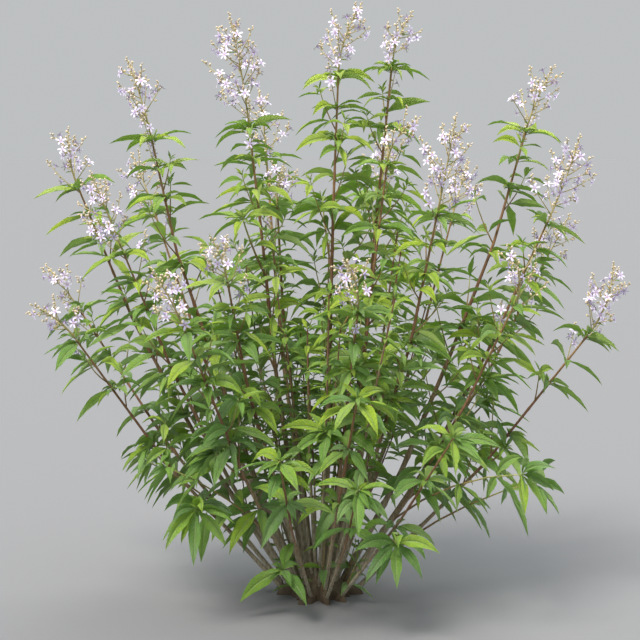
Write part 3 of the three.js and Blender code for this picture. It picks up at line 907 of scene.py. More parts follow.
def leaf_nodes(add):
    """A thin blade: its colour by tone and veins, its bump by the bulges, and light through it."""
    tone = add("Attribute", give="Fac", attribute_name="tone")
    under = add("Attribute", give="Fac", attribute_name="underside")
    place = add("TexCoord", give="Object")
    uv = add("UVMap", uv_map="skin")
    u, v = (add("SeparateXYZ", uv, give=axis) for axis in (0, 1))
    signed = add("Math", u, 2.0, -1.0, operation="MULTIPLY_ADD")
    across = add("Math", signed, operation="ABSOLUTE")
    slant = add("Math", across, VEIN_SLANT, operation="MULTIPLY")
    phase = add("Math", v, VEIN_PAIRS, slant, operation="MULTIPLY_ADD")
    from_vein = add("Math", phase, 0.5, operation="PINGPONG")
    side_vein = add("MapRange", from_vein, 0.02, 0.11, 1.0, 0.0)
    midrib = add("MapRange", across, 0.05, 0.16, 1.0, 0.0)
    patches = add("TexNoise", {"Vector": place, "Scale": MOTTLES, "Detail": 3.0})
    mottled = add("MapRange", patches, 0.3, 0.7, -0.13, 0.13)
    shade = add("Math", tone, mottled, operation="ADD")
    # The ramp runs from deep green to yellow-green. Since the tone rises with height, part of it is painted
    # light.
    blade = add("ValToRGB", shade, stops=LEAF_COLOURS)
    faint = add("Math", side_vein, 0.42, operation="MULTIPLY")
    strong = add("Math", midrib, 0.62, operation="MULTIPLY")
    veins = add("Math", faint, strong, operation="MAXIMUM")
    veined = add("Mix", {0: veins, 6: blade, 7: linear("#c0d494")}, give=2, data_type="RGBA")
    # The next three lines mix broad patches of pale silvery green into the leaf's colour: a painted sheen.
    breadth = add("TexNoise", {"Vector": place, "Scale": SHEEN_PATCHES, "Detail": 1.0})
    painted_sheen = add("MapRange", breadth, 0.48, 0.64, 0.0, 0.2)
    downy = add("Mix", {0: painted_sheen, 6: veined, 7: linear("#b4c8ac")}, give=2, data_type="RGBA")
    pale = add("Math", under, 0.55, operation="MULTIPLY")
    colour = add("Mix", {0: pale, 6: downy, 7: linear("#a3b687")}, give=2, data_type="RGBA")
    net = add("TexVoronoi", {"Vector": place, "Scale": CELLS}, feature="DISTANCE_TO_EDGE")
    cells = add("MapRange", net, 0.0, 0.3, 0.0, 0.55)
    bulge = add("Math", from_vein, 1.3, cells, operation="MULTIPLY_ADD")
    groove = add("Math", bulge, midrib, operation="SUBTRACT")
    bump = add("Bump", {"Strength": 1.0, "Distance": 1.0 * MM, "Height": groove})
    shader = add("BsdfPrincipled", {
        "Base Color": colour, "Roughness": 0.36, "IOR": 1.5, "Specular IOR Level": 0.6, "Normal": bump,
        "Sheen Weight": 0.1, "Sheen Roughness": 0.5, "Sheen Tint": linear("#dfecf0"),
    })
    glow = add("BsdfTranslucent", {"Color": linear("#b0d234")})
    return add("MixShader", THROUGH, shader, glow)


leaf_look = new_material("verbena_leaf_matt_veined", leaf_nodes)
print("nodes in the leaf:", len(leaf_look.node_tree.nodes))

# %% [markdown]
# ## Bark
#
# The foot of an old cane is grey and cracked with patches of lichen. Higher up the bark is smooth and
# reddish brown, and just below the flowers it is ochre, while young wood is greener. One attribute, the
# share of the way up, runs through the colours of a ramp. A noise drawn out along the wood gives both the
# dark streaks and the cracks, so the bark is darker where its bump is lowest, in the cracks.

# %% Bark materials
DRAWN_OUT = 0.16
LICHENS = 42.0  # patches of lichen, 24 mm wide
OLD_BARK = ((0.0, "#a0957f"), (0.14, "#b9b19b"), (0.36, "#9f8c70"), (0.62, "#86604a"), (1.0, "#9c7f55"))
YOUNG_BARK = ((0.0, "#8c6d50"), (0.5, "#a08a58"), (1.0, "#a3b166"))
# The crown's bark browns are darkened as painted shade, darkest at its rim on the ground and lighter on its
# top.
CROWN_BARK_PAINTED_SHADE = ((0.0, "#453b30"), (0.5, "#6c604f"), (1.0, "#978b75"))


def bark_nodes(add, colours, roughness, streaks, cracks):
    """Bark: its colour by `ripe`, the share of the way up; `streaks` a metre across and `cracks` mm deep."""
    ripe = add("Attribute", give="Fac", attribute_name="ripe")
    place = add("TexCoord", give="Object")
    stretched = add("Mapping", {"Vector": place, "Scale": (1.0, 1.0, DRAWN_OUT)})
    grain = add("TexNoise", {"Vector": stretched, "Scale": streaks, "Detail": 4.0})
    patches = add("TexNoise", {"Vector": place, "Scale": LICHENS, "Detail": 3.0})
    uneven = add("Math", patches, 0.34, -0.17, operation="MULTIPLY_ADD")
    shift = add("Math", ripe, uneven, operation="ADD")
    base = add("ValToRGB", shift, stops=colours)
    # The bark is darker where the grain, and so the bump, is lowest: in the cracks.
    dark = add("MapRange", grain, 0.38, 0.56, 0.5, 0.0)
    colour = add("Mix", {0: dark, 6: base, 7: linear("#4a3a2c")}, give=2, data_type="RGBA")
    bump = add("Bump", {"Strength": 0.8, "Distance": cracks * MM, "Height": grain})
    return add("BsdfPrincipled", {
        "Base Color": colour, "Roughness": roughness, "IOR": 1.5, "Specular IOR Level": 0.3, "Normal": bump,
    })


bark_look = new_material("verbena_bark_old_grey_to_reddish", bark_nodes, OLD_BARK, 0.8, 420.0, 0.6)
twig_look = new_material("verbena_bark_young_ochre_green", bark_nodes, YOUNG_BARK, 0.65, 600.0, 0.3)
crown_look = new_material("verbena_crown_bark_cracked_painted_shade", bark_nodes, CROWN_BARK_PAINTED_SHADE, 0.92, 150.0, 4.0)
print("streaks of bark, mm wide:", [round(1000 / per_metre, 1) for per_metre in (420.0, 600.0, 150.0)])

# %% [markdown]
# ## Petals, flower stalks and buds
#
# A petal is thin and soft, white to pale lilac, and deeper lilac in its throat. A flower stalk is downy and
# ochre, and a bud is cream with a green foot. All three are matt and change colour from foot to tip, so
# one set of nodes serves them: a ramp over `ripe`, the share of the way along.

# %% Petal, stalk and bud materials
PETAL_COLOURS = ((0.0, "#b8a2a0"), (0.12, "#9680b0"), (0.34, "#c4b8e0"), (0.62, "#dad3ee"), (1.0, "#e4dff3"))
STALK_COLOURS = ((0.0, "#93875a"), (1.0, "#b9b07f"))
BUD_COLOURS = ((0.0, "#9d925c"), (0.4, "#c8b78e"), (1.0, "#ddd0c4"))


def soft_nodes(add, colours, roughness, ior):
    """A soft, matt plant surface whose colour runs from foot to tip."""
    ripe = add("Attribute", give="Fac", attribute_name="ripe")
    colour = add("ValToRGB", ripe, stops=colours)
    return add("BsdfPrincipled", {
        "Base Color": colour, "Roughness": roughness, "IOR": ior, "Specular IOR Level": 0.3,
    })


petal_look = new_material("verbena_petal_thin_lilac_white", soft_nodes, PETAL_COLOURS, 0.55, 1.4)
stalk_look = new_material("verbena_flower_stalk_downy", soft_nodes, STALK_COLOURS, 0.6, 1.45)
bud_look = new_material("verbena_bud_cream", soft_nodes, BUD_COLOURS, 0.6, 1.45)
print("materials:", len(bpy.data.materials))

# %% [markdown]
# ## Leaves
#
# The section of a blade is a shallow V with full, rounded halves and a thin rib below. Its half width
# follows the outline that the solids have, with teeth added, and its edges rise and fall a little along
# the leaf. A Solidify modifier on a folded sheet would give the same look with far more faces, so a large
# leaf is a closed skin of nine loops of six points, and a small one has five loops of four, because there
# are thousands of them.

# %% Blades
LARGE = Bunch(
    stations=(0.035, 0.09, 0.2, 0.32, 0.44, 0.56, 0.68, 0.8, 0.91), loop=(0, 0.52, 1, None, -1, -0.52),
    under=(2, 3),
)
SMALL = Bunch(stations=(0.06, 0.22, 0.42, 0.64, 0.85), loop=(0, 1, None, -1), under=(1, 2))
LARGE_FROM = 50
BLADE = Bunch(
    width=(0.76, 0.98, 90), low_wider=0.22, low_below=600, narrow_base=0.3, petiole=0.75, least=0.012,
    rib=0.8, fold=(14, 36, 91), bulge=0.11, wave=0.1, waves=3.1, phase=(0, 1, 92), tooth=0.025,
    twist=(-24, 24, 93),
)
# with_height raises each leaf's tone up the bush: partly younger growth, partly painted light on the top of
# the bush.
TONE = Bunch(with_height=0.6, middle=0.52, most=0.9, scatter=(-0.5, 0.5, 94))


def blades(leaves, kind):
    """Folded blades: at v across, wide = half v cos(fold), high = half (|v| sin(fold) + bulge) - keel."""
    s, loop = np.array(kind.stations), kind.loop
    numbers, length = gather(leaves, "leaf"), gather(leaves, "length")[:, None]
    place = frames(bows(leaves), s, gather(leaves, "side")[:, None])
    outline = half_width(s) * np.clip(s / BLADE.narrow_base, 0, 1) ** 0.5
    wide = vary(BLADE.width, numbers)
    wide = wide + BLADE.low_wider * np.clip(1 - place.at[:, 0, 2] / BLADE.low_below, 0, 1)
    half = length * LEAF.width / 2 * outline * wide[:, None]
    teeth = 1 + BLADE.tooth * np.where(np.arange(len(s)) % 2, 1, -1)
    half = np.maximum(half * teeth, np.minimum(BLADE.petiole, length * BLADE.least))
    fold = np.radians(vary(BLADE.fold, numbers))[:, None]
    keel = half * 2 * LEAF.keel
    phase = vary(BLADE.phase, numbers)[:, None]
    section = np.zeros((len(leaves), len(s), len(loop), 2))
    for i, v in enumerate(loop):
        if v is None:
            section[:, :, i, 0] = -keel - np.minimum(BLADE.rib, 0.25 * half + 0.3)
            continue
        wave = np.sin(TAU * (BLADE.waves * s + phase + 0.25 * np.sign(v))) * BLADE.wave * half * v * v
        rise = half * (abs(v) * np.sin(fold) + BLADE.bulge * np.sin(np.pi * min(abs(v), 1)))
        section[:, :, i, 0] = rise + wave - keel
        section[:, :, i, 1] = half * v * np.cos(fold)
    twist = np.radians(vary(BLADE.twist, numbers))[:, None] * s
    u = [0.5 if v is None else 0.5 + 0.5 * v for v in (*loop, loop[0])]
    return carry(
        place, section, bow_ends(leaves), s, gather(leaves, "roll")[:, None] + twist, across_uv=u,
        under=kind.under, tone=gather(leaves, "tone"),
    )


def set_tones(leaves, base, spread):
    """A tone for each leaf: scattered about `base`, and higher the higher it grows, partly for the younger
    growth up there and partly as painted light, lighter where more light falls on the bush.
    """
    for leaf in leaves:
        height = leaf.start[2] * MM - TONE.middle
        tone = base + TONE.with_height * height + spread * (vary(TONE.scatter, leaf.leaf))
        leaf.tone = min(tone, TONE.most)


def leaf_skins(leaves):
    """Large and small blades apart."""
    large = [leaf for leaf in leaves if leaf.length > LARGE_FROM]
    small = [leaf for leaf in leaves if leaf.length <= LARGE_FROM]
    return [blades(group, kind) for group, kind in ((large, LARGE), (small, SMALL)) if group]


for stem in stems:
    set_tones(stem.leaves, 0.62, 0.4)
    set_tones(stem.more, 0.64, 0.5)
    skins = leaf_skins(stem.leaves + stem.more)
    make_piece(f"leaves_{stem.name}", skins, leaf_look, [f"leafy_stem_{stem.name}"])
set_tones(crown_leaves, 0.72, 0.4)
make_piece("leaves_crown", leaf_skins(crown_leaves), leaf_look)
print("triangles:", triangles_made)

# %% [markdown]
# ## Wood
#
# A cane is round and thick at its foot and slightly four-angled near its tip, with a swelling at each
# whorl where the leaves leave it. Its loops of ten points are close together at the swellings and further
# apart between them. The corners of its path are softened by taking each place as the mean of its
# neighbours. Forks and side shoots are thinner and younger, so they get six points or five.

# %% Skins of the wood
CANE = Bunch(
    points=10, step=16, slim=0.16, knot=0.24, knot_reach=4.0, knot_step=4.5, bare_tip=0.9, angled=0.07,
    rough=0.06, soften=14, ends=(0.004, 0.999), ripest=0.95, young_ripest=0.62,
)
FORK_RINGS, TWIG_RINGS, BASAL_RINGS = (9, 6), (5, 5), (7, 6)


def cane_skin(stem, ripest=CANE.ripest):
    """Radius: the taper times 1 + knot exp(-(d/reach)²) + angled cos 4θ + rough (1 - s) sin(3θ + 40 s)."""
    downs = whorl_down(np.arange(30))
    nodes = 1 - downs[downs < stem.length * CANE.bare_tip] / stem.length
    step, near, soft = np.array([CANE.step, CANE.knot_step, CANE.soften]) / stem.length
    s = np.arange(step / 2, 1, step)
    s = s[(np.abs(s[:, None] - nodes) > near * 1.5).all(1)]
    s = np.sort(np.concatenate([s, nodes - near, nodes, nodes + near]))
    s = s[(s > CANE.ends[0]) & (s < CANE.ends[1])]
    at = (stem.path(s - soft) + 2 * stem.path(s) + stem.path(s + soft)) / 4
    along = unit(stem.path(s + soft) - stem.path(s - soft))
    place = frame_at(at[None], along[None], unit(stem.side - along * dot(along, stem.side))[None])
    apart = (s[:, None] - nodes) * stem.length
    knots = CANE.knot * np.exp(-(apart / CANE.knot_reach) ** 2).sum(1)
    turn = circle(CANE.points)
    angled = CANE.angled * s[:, None] * np.cos(4 * turn)
    rough = CANE.rough * (1 - s[:, None]) * np.sin(3 * turn + 40 * s[:, None] + stem.index)
    radius = (stem.radius_at(s) * (1 - CANE.slim * np.sin(np.pi * s)))[:, None]
    section = round_section(radius * (1 + knots[:, None] + angled + rough), CANE.points)[None]
    ends = np.stack([stem.path(0), stem.path(1)])[None]
    return carry(place, section, ends, s, ripe=s[None] * (ripest - 0.05) + 0.05)


def tubes(items, rings, points):
    """Round shoots on bows: each goes evenly from its foot's radius to its tip's."""
    s = np.linspace(0.02, 0.98, rings)
    place = frames(bows(items), s, gather(items, "side")[:, None])
    foot, tip = gather(items, "radii").T[..., None]
    section = round_section((foot + (tip - foot) * s)[..., None], points)
    return carry(place, section, bow_ends(items), s, ripe=s[None])


for stem in stems:
    node = [f"leafy_stem_{stem.name}"]
    make_piece(f"cane_{stem.name}", [cane_skin(stem)], bark_look, node)
    kinds = ((stem.forks, FORK_RINGS), (stem.twigs, TWIG_RINGS))
    young = [tubes(items, *size) for items, size in kinds if items]
    if young:
        make_piece(f"side_shoots_{stem.name}", young, twig_look, node)
make_piece("shoots_crown", [tubes(crown_shoots, *BASAL_RINGS)], twig_look)
young_skins = [cane_skin(cane, CANE.young_ripest) for cane in young_canes]
make_piece("young_canes", young_skins, bark_look)
print("triangles:", triangles_made)

# %% [markdown]
# ## Where flowers and buds go
#
# A spray is a tree in small. Its axis carries arms, each arm carries open flowers low down and a spike of
# cream buds at its end, and the top of the axis is all buds, because the flowers open from below. Every
# flower looks for room in front of its face. Where there is none, it is still a bud.

# %% Sticks, flowers and buds
FLOWER_STALK = Bunch(radii=(0.6, 0.45), sunk=0.5)
BUD_STALK = Bunch(radii=(0.35, 0.35), sunk=0.4)
SPIKE = Bunch(
    before=12, angle=38, turn=0.4, length=(12, 20, 100), pitch=2.3, open=58, closing=0.6, bud=(6.2, 3.6),
    bare=0.25, radii=(0.55, 0.35), stalk=1.2,
)
ARM = Bunch(
    first=0.36, last=0.96, pitch=7.6, opens=(0, 1, 98), open_share=0.58, open=(50, 74, 97),
    stalk=(2.5, 5.0, 96), size=(9.2, 11.4, 99), depth=5.0, turns=(0, 0.8, -0.8, 1.6, -1.6, 3.1),
    balls=(2.0, 6.0), worst=-2.2, bud_stalk=2.4, bud=6.0,
)


def add_flower(spray, start, out, stalk, radii, number, **size):
    """A flower: its funnel starts at the end of a straight stalk, and its face lies `depth` further out."""
    spray.sticks.append(bowed(start, stalk + FLOWER_STALK.sunk, out, out, radii=radii))
    spray.flowers.append(Bunch(start=start + out * stalk, out=out, number=number, **size))


def add_bud(spray, start, out, stalk, size):
    """A bud on a short stalk."""
    spray.sticks.append(bowed(start, stalk + BUD_STALK.sunk, out, out, radii=BUD_STALK.radii))
    spray.buds.append(Bunch(start=start + out * stalk, out=out, length=size))


def bud_spike(spray, place, number, length, angle, turn=0.0):
    """A small stalk crowded with buds, ever smaller and closer to it towards its tip."""
    out = leaving(place, angle, turn)
    spray.sticks.append(bowed(place.at, length, out, out, radii=SPIKE.radii))
    spike = frame_at(place.at, out, side_of(out))
    count = int(length * 0.8 / SPIKE.pitch)
    large, small = SPIKE.bud
    for i in range(count):
        share = i / max(1, count - 1)
        opening = SPIKE.open * (1 - SPIKE.closing * share)
        at = place.at + out * length * (SPIKE.bare + (1 - SPIKE.bare) * share)
        around = leaving(spike, opening, GOLDEN * i + number)
        add_bud(spray, at, around, SPIKE.stalk, large + (small - large) * share)
    add_bud(spray, place.at + out * (length - 0.5), out, 0.8, small)


def dress_arm(spray, arm, length, number, first=ARM.first):
    """Open flowers along an arm, and a bud wherever a flower has no room."""
    count = int(length * (ARM.last - first) / ARM.pitch)
    for i in range(count):
        place = frames(arm.path, first + (ARM.last - first) * (i + 0.5) / count, arm.side)
        draw = number * 13 + i
        stalk, angle, turn = vary(ARM.stalk, draw), vary(ARM.open, draw), GOLDEN * i + number

        def plans():
            for shift in ARM.turns:
                out = leaving(place, angle, turn + shift)
                face = place.at + out * (stalk + ARM.depth)
                yield Bunch(out=out, balls=(np.stack([face - out * 3, face]), np.array(ARM.balls)))

        opens = vary(ARM.opens, draw) < ARM.open_share
        found = next(settle(plans(), 0.0, ARM.worst), None) if opens else None
        if found:
            size = dict(depth=ARM.depth, radius=vary(ARM.size, draw))
            add_flower(spray, place.at, found.out, stalk, FLOWER_STALK.radii, draw, **size)
        else:
            add_bud(spray, place.at, leaving(place, angle, turn), ARM.bud_stalk, ARM.bud)


print("flowers stand", ARM.pitch, "mm apart along an arm")

# %% [markdown]
# ## Sprays
#
# Each stalk of the solids becomes an arm, more arms stand between them, and two side sprays leave the cane
# just below. A small bract sits under a long arm. The pieces of a spray are grown from the lowest arm up,
# so that the old flowers have the first choice of room.

# %% Whole sprays
STALK = Bunch(radii=(0.95, 0.6), dressed_from=22, bract_from=18, end=8)
MORE_ARMS = Bunch(
    length=(0.7, 1.25, 109), shortest=18, angle=(46, 66, 110), upward=0.6, radii=(0.95, 0.65), end_ball=4,
    room=0.5, worst=-2.5, turns=(0, 0.6, -0.6, 1.2, -1.2, 1.9, -1.9), first=ARM.first, end=0.98,
    spike=(9, 3),
)
TOP = Bunch(
    first=0.62, pitch=2.8, open=(46, 72, 101), closing=(1.1, 0.6), stalk=(1.8, 4.4, 102), bud=(6.4, 4.0),
    spike=(10, 4),
)
SIDE_SPRAY = Bunch(
    downs=(16, 62), turn=(0, TAU, 103), length=(45, 84, 104), angle=34, lift=0.5, radii=(1.0, 0.6),
    room=2.0, worst=-2.0, turns=(0, 0.7, -0.7, 1.4, -1.4, 2.1, -2.1), first=0.42, end=0.97, spike=(12, 3),
)
BRACT = Bunch(size=(9, 20, 69), angle=62, turn=0.5, droop=0.8, **SMALL_LEAF)


def dress_stalk(spray, stem, stalk):
    """A stalk with its own flower, and on a long one more flowers, a spike of buds and a bract."""
    number, out = stem.index * 97 + stalk.turn * 3, stalk.first
    size = dict(depth=FLOWER.depth, radius=FLOWER.radius)
    add_flower(spray, stalk.start, out, stalk.length - FLOWER.depth, STALK.radii, number, **size)
    if stalk.length > STALK.dressed_from:
        dress_arm(spray, stalk, stalk.length - STALK.end, number)
        place = frames(stalk.path, 1 - SPIKE.before / stalk.length, UP * 0.8 + 0.1)
        bud_spike(spray, place, number, vary(SPIKE.length, number), SPIKE.angle, SPIKE.turn)
    if stalk.length > STALK.bract_from:
        place = frames(stem.axis.path, stalk.s, stem.axis.side)
        turn = math.atan2(out @ place.front, out @ place.across) + BRACT.turn
        size, angle, droop = vary(BRACT.size, number), BRACT.angle, BRACT.droop
        spray.bracts += grow_leaf(place, size, number, angle, turn, droop, BRACT)


def add_arm(spray, arm, number, habit):
    """An arm, its flowers from the share `first` of the way, and a spike of buds at the share `end`."""
    spray.arms.append(arm)
    dress_arm(spray, arm, arm.length, number, habit.first)
    bud_spike(spray, frames(arm.path, habit.end, arm.side), number, *habit.spike)


def more_arms(spray, stem):
    """An arm between each two stalks, which turns up beside the axis."""
    axis = stem.axis
    for i, (low, high) in enumerate(zip(stem.stalks[:-1], stem.stalks[1:])):
        number = 4000 + stem.index * 53 + i
        s = (low.s + high.s) / 2
        place = frames(axis.path, s, axis.side)
        share = vary(MORE_ARMS.length, number)
        length = MORE_ARMS.shortest + SPRAY.reach * axis.length * (1 - s) * share
        angle = vary(MORE_ARMS.angle, number)

        def plans():
            for shift in MORE_ARMS.turns:
                out = leaving(place, angle, GOLDEN * (low.turn + 1.5) + shift)
                last = unit(out + place.along * MORE_ARMS.upward)
                arm = bowed(place.at, length, out, last, radii=MORE_ARMS.radii)
                arm.balls = stalk_balls(arm, MORE_ARMS.end_ball)
                yield arm

        for arm in settle(plans(), MORE_ARMS.room, MORE_ARMS.worst):
            add_arm(spray, arm, number, MORE_ARMS)


def top_buds(spray, stem):
    """Buds round the upper part of the axis, ever smaller and closer to it, and a spike on its tip."""
    axis = stem.axis
    count = int(axis.length * (1 - TOP.first) / TOP.pitch)
    (large, small), (wide, less) = TOP.bud, TOP.closing
    for i in range(count):
        number = stem.index * 31 + i
        place = frames(axis.path, TOP.first + (1 - TOP.first) * i / count, axis.side)
        angle = vary(TOP.open, number) * (wide - less * i / count)
        out = leaving(place, angle, GOLDEN * i + stem.index)
        stalk = vary(TOP.stalk, number)
        add_bud(spray, place.at, out, stalk, large + (small - large) * i / count)
    bud_spike(spray, frames(axis.path, 0.99, axis.side), stem.index, *TOP.spike)


def side_sprays(spray, stem):
    """Two small sprays from the cane itself, one on each side of it."""
    for j, down in enumerate(SIDE_SPRAY.downs):
        number = 3000 + stem.index * 7 + j
        place = frames(stem.path, 1 - down / stem.length, stem.side)
        turn = np.pi * j + vary(SIDE_SPRAY.turn, stem.index)
        length = vary(SIDE_SPRAY.length, number)
        plans = (
            grow_twig(place, length, number, turn + shift, SIDE_SPRAY.angle, SIDE_SPRAY.lift)
            for shift in SIDE_SPRAY.turns
        )
        for arm in settle(plans, SIDE_SPRAY.room, SIDE_SPRAY.worst):
            arm.radii = SIDE_SPRAY.radii
            add_arm(spray, arm, number, SIDE_SPRAY)


for stem in blooming:
    spray = stem.spray = Bunch(arms=[], sticks=[], flowers=[], buds=[], bracts=[])
    for stalk in stem.stalks:
        dress_stalk(spray, stem, stalk)
    more_arms(spray, stem)
    top_buds(spray, stem)
    side_sprays(spray, stem)
    set_tones(spray.bracts, 0.56, 0.3)
for kind in ("flowers", "buds", "arms"):
    print(kind, "in all:", sum(len(getattr(stem.spray, kind)) for stem in blooming))

# %% [markdown]
# ## Petals, funnels and buds
#
# Every flower is a narrow funnel that opens into five or six blunt petals, which bow outwards and a little
# back. There are thousands of petals, so each is a closed skin of three loops of four points, and the bump
# of their tissue would be too fine to show. A funnel and a bud are round on a straight axis, and differ
# only in how wide they are at each share of it.

# %% Petals, funnels, buds and the meshes of the sprays
PETAL = Bunch(
    stations=(0.1, 0.52, 0.9), half=(0.5, 1.0, 0.8), width=0.158, least=0.25, thick=0.2, cup=0.26, back=0.2,
    back_size=(0.5, 1.5, 107), count=(0, 1, 105), sixth=0.7, uneven=(0, 0.16, 106),
    length=(0.84, 1.0, 108), from_axis=0.9, sunk=0.6, dished=0.25,
)
FUNNEL = Bunch(
    stations=(0.05, 0.55, 0.96, 1.06), neck=0.75, wide=(0, 0.14, 0.21, 0.1), ripe=(0.3, 0.32, 0.14, 0.0),
    end=1.1, points=6,
)
BUD = Bunch(stations=(0.12, 0.5, 0.85), radius=(0.6, 1.0, 0.7), wide=0.33, points=5)
AXIS_RINGS, STICK_RINGS, ARM_RINGS = (14, 6), (3, 4), (5, 5)


def grow_petals(one):
    """The petals of a flower, evenly round its face but for a scattered shift."""
    face = frame_at(one.start + one.out * (one.depth - PETAL.sunk), one.out, side_of(one.out))
    count = 5 + (vary(PETAL.count, one.number) > PETAL.sixth)
    for i in range(count):
        shift = vary(PETAL.uneven, one.number + i)
        radial = leaving(face, 90, TAU * (i + shift) / count + one.number)
        back = PETAL.back * vary(PETAL.back_size, one.number + i)
        length = one.radius * vary(PETAL.length, one.number + i)
        yield bowed(
            face.at + radial * PETAL.from_axis, length - PETAL.from_axis,
            unit(radial + one.out * PETAL.cup), unit(radial - one.out * back), one.out,
        )


def petal_skins(flowers):
    """Half width: length x width x a blunt profile; the section is a lens, dished towards the light."""
    petals = [petal for one in flowers for petal in grow_petals(one)]
    s = np.array(PETAL.stations)
    place = frames(bows(petals), s, gather(petals, "side")[:, None])
    half = gather(petals, "length")[:, None] * PETAL.width * np.array(PETAL.half) + PETAL.least
    section = np.zeros((len(petals), len(s), 4, 2))
    section[:, :, 0, 0], section[:, :, 2, 0] = PETAL.thick, -PETAL.thick
    section[:, :, 1, 1], section[:, :, 3, 1] = half, -half
    section[:, :, (1, 3), 0] = PETAL.dished * half[..., None]
    return carry(
        place, section, bow_ends(petals), s, across_uv=(0.5, 1, 0.5, 0, 0.5), ripe=0.25 + 0.75 * s[None],
    )


def spindles(items, length, s, wide, ripe, points, end=1.0):
    """Round bodies on straight axes: rings at length x s with radii `wide`, and a pole at length x end."""
    start, out, s = gather(items, "start"), gather(items, "out"), np.array(s)
    side = np.array([side_of(one.out) for one in items])
    at = start[:, None] + out[:, None] * (length[:, None] * s)[..., None]
    ends = np.stack([start, start + out * (length * end)[:, None]], 1)
    place = frame_at(at, out[:, None], side[:, None])
    return carry(place, round_section(wide[..., None], points), ends, s / end, ripe=np.array(ripe)[None])


def funnel_skins(flowers):
    """Funnels from a narrow neck to the throat, and their closed mouths with the stamens as a small knob."""
    depth, radius = gather(flowers, "depth"), gather(flowers, "radius")
    wide = radius[:, None] * np.array(FUNNEL.wide)
    wide[:, 0] = FUNNEL.neck
    return spindles(flowers, depth, FUNNEL.stations, wide, FUNNEL.ripe, FUNNEL.points, FUNNEL.end)


def bud_skins(buds):
    """Spindles whose radius follows a blunt profile."""
    length = gather(buds, "length")
    wide = length[:, None] * BUD.wide * np.array(BUD.radius)
    return spindles(buds, length, BUD.stations, wide, BUD.stations, BUD.points)


for stem in blooming:
    node, spray = [f"flower_spray_{stem.name}"], stem.spray
    stalks = [tubes([stem.axis], *AXIS_RINGS), tubes(spray.sticks, *STICK_RINGS)]
    if spray.arms:
        stalks.append(tubes(spray.arms, *ARM_RINGS))
    make_piece(f"flower_stalks_{stem.name}", stalks, stalk_look, node)
    flowers = [petal_skins(spray.flowers), funnel_skins(spray.flowers)]
    make_piece(f"petals_{stem.name}", flowers, petal_look, node)
    make_piece(f"buds_{stem.name}", [bud_skins(spray.buds)], bud_look, node)
    if spray.bracts:
        make_piece(f"bracts_{stem.name}", [blades(spray.bracts, SMALL)], leaf_look, node)
print("triangles:", triangles_made)

# %% [markdown]
# ## The crown
#
# The crown is the low woody lump that all canes share. It is a dome of loops round an upright axis. A root
# reaches out under each cane, so the outline has lobes, and a collar of bark is raised round the foot of
# each cane, so that no cane looks merely stuck in. Cracks run outwards. The underside is flat, because it
# stands on the ground. Sculpting would be slower and would not follow the canes if they moved.

# %% Crown
CROWN = Bunch(
    least=50, most=80, beyond=15, spread=0.24, height=22, rings=30, points=160, collar=9, collar_reach=11,
    collar_at=0.03, crack=1.6, gather=0.9,
    profile=((1, 0.0), (0.95, 0.14), (0.78, 0.42), (0.5, 0.8), (0.02, 1)),
)


def crown_outline(angle):
    """The radius at an angle: the farthest of foot + 15 mm, times exp(-(turn/0.24)²), over all canes."""
    reach = np.full(angle.shape, float(CROWN.least))
    for cane in stems + young_canes:
        x, y, _ = cane.path(0.0)
        turn = (angle - math.atan2(y, x) + np.pi) % (TAU) - np.pi
        root = math.hypot(x, y) + CROWN.beyond
        reach = np.maximum(reach, root * np.exp(-(turn / CROWN.spread) ** 2))
    return np.minimum(reach, CROWN.most)


def crown_skin():
    """Loops r(t), z(t) by the profile and the outline; z is raised by 9 exp(-(d/11)²) round each cane."""
    t = np.linspace(0, 1, CROWN.rings) ** CROWN.gather
    steps = np.linspace(0, 1, len(CROWN.profile))
    out, high = (np.interp(t, steps, column)[:, None] for column in zip(*CROWN.profile))
    angle = circle(CROWN.points)[None]
    radius = out * (CROWN.least + (crown_outline(angle) - CROWN.least) * out)
    x, y = radius * np.cos(angle), radius * np.sin(angle)
    z = high * CROWN.height
    upper = np.clip(high * 5, 0, 1)
    for cane in stems + young_canes:
        foot = cane.path(CROWN.collar_at)
        near = np.exp(-((x - foot[0]) ** 2 + (y - foot[1]) ** 2) / CROWN.collar_reach ** 2)
        z = z + CROWN.collar * near * upper
    cracks = np.sin(23 * angle + 5 * np.sin(3 * angle + 4 * out)) * np.sin(9 * out + 4 * angle)
    z = z + CROWN.crack * cracks * upper * np.clip(out, 0, 1)
    rings = np.stack([x, y, z], -1)[None]
    ends = np.array([[[0, 0, 0], rings[0, -1].mean(0)]])
    # ripe follows the height on the crown, so its ramp paints shade, darkest at the rim on the ground.
    return skin(rings, ends, t * 0.98 + 0.01, ripe=(0.2 + 0.8 * high).T)


make_piece("crown_wood", [crown_skin()], crown_look, ["crown"])
print("triangles:", triangles_made, "in all", sum(triangles_made.values()))

# %% [markdown]
# ## Stage and light
#
# A wide pale floor and a pale sky give the even light of an overcast day, and the sky is brighter overhead
# than at its rim, where it meets the floor's tone. A large soft lamp above and in front shapes the leaves,
# and a second from behind lights their edges and shines through them.

# %% Floor, sky and lamps
FLOOR = Bunch(radius=14, corners=64, colour="#77797d")


def floor_nodes(add):
    """A matt painted floor."""
    return add("BsdfPrincipled", {
        "Base Color": linear(FLOOR.colour), "Roughness": 0.95, "Specular IOR Level": 0.1,
    })


def look_at(thing, place, target):
    """Puts a lamp or a camera at `place` and turns its -Z axis towards `target`."""
    x, y, z = np.array(target, float) - np.array(place, float)
    thing.location = place
    thing.rotation_euler = math.atan2(math.hypot(x, y), -z), 0.0, math.atan2(y, x) - math.pi / 2
    bpy.context.scene.collection.objects.link(thing)


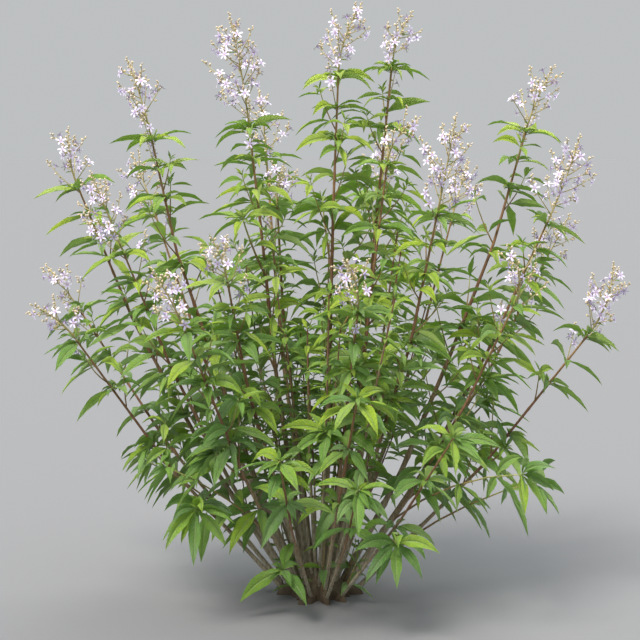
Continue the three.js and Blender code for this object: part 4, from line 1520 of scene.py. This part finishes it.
def soft_lamp(name, place, spread, strength, colour):
    """Light from the direction of `place`, as wide as `spread` degrees of the sky, so shadows are soft."""
    lamp = bpy.data.lights.new(name, "SUN")
    lamp.angle, lamp.energy, lamp.color = math.radians(spread), strength, linear(colour)[:3]
    look_at(bpy.data.objects.new(name, lamp), place, (0, 0, 0))


floor_mesh = bpy.data.meshes.new("stage_floor")
rim = [(FLOOR.radius * math.cos(a), FLOOR.radius * math.sin(a), 0.0) for a in circle(FLOOR.corners)]
floor_mesh.from_pydata(rim, [], [list(range(FLOOR.corners))])
floor_mesh.materials.append(new_material("stage_floor_pale_matt", floor_nodes))
floor = bpy.data.objects.new("stage_floor", floor_mesh)
bpy.context.scene.collection.objects.link(floor)

world = bpy.context.scene.world = bpy.data.worlds.new("overcast")
world.use_nodes = True
sky, background = world.node_tree, world.node_tree.nodes["Background"]
add = partial(add_node, sky)
height = add("SeparateXYZ", add("TexCoord", give="Generated"), give=2)
brightness = add("MapRange", height, 0.1, 1.0, 0.6, 1.6, clamp=True)
sky.links.new(brightness, background.inputs["Strength"])
background.inputs["Color"].default_value = linear("#eef1f3")
soft_lamp("key", (-1.4, -1.7, 3.6), 26, 4.3, "#fff6ea")
soft_lamp("rim", (1.4, 2.6, 3.0), 30, 1.9, "#fffdf4")
print("lamps:", len(bpy.data.lights))

# %% [markdown]
# ## Camera
#
# The camera stands 3.2 m away, a little above the middle of the bush, and looks slightly down, as someone
# does who crouches in front of it. The view is narrow, so near leaves are hardly larger than far ones.

# %% Camera
CAMERA = Bunch(distance=3.2, elevation=8.0, view=19.3, target=(0.003, 0.0, 0.478), far=60)
camera = bpy.data.objects.new("camera", bpy.data.cameras.new("camera"))
camera.data.sensor_fit = "HORIZONTAL"
camera.data.angle, camera.data.clip_end = math.radians(CAMERA.view), CAMERA.far
rise, target = math.radians(CAMERA.elevation), np.array(CAMERA.target)
look_at(camera, target + CAMERA.distance * np.array([0, -math.cos(rise), math.sin(rise)]), target)
bpy.context.scene.camera = camera
bpy.context.scene.view_settings.view_transform = "Standard"
print("camera:", [round(x, 3) for x in camera.location])
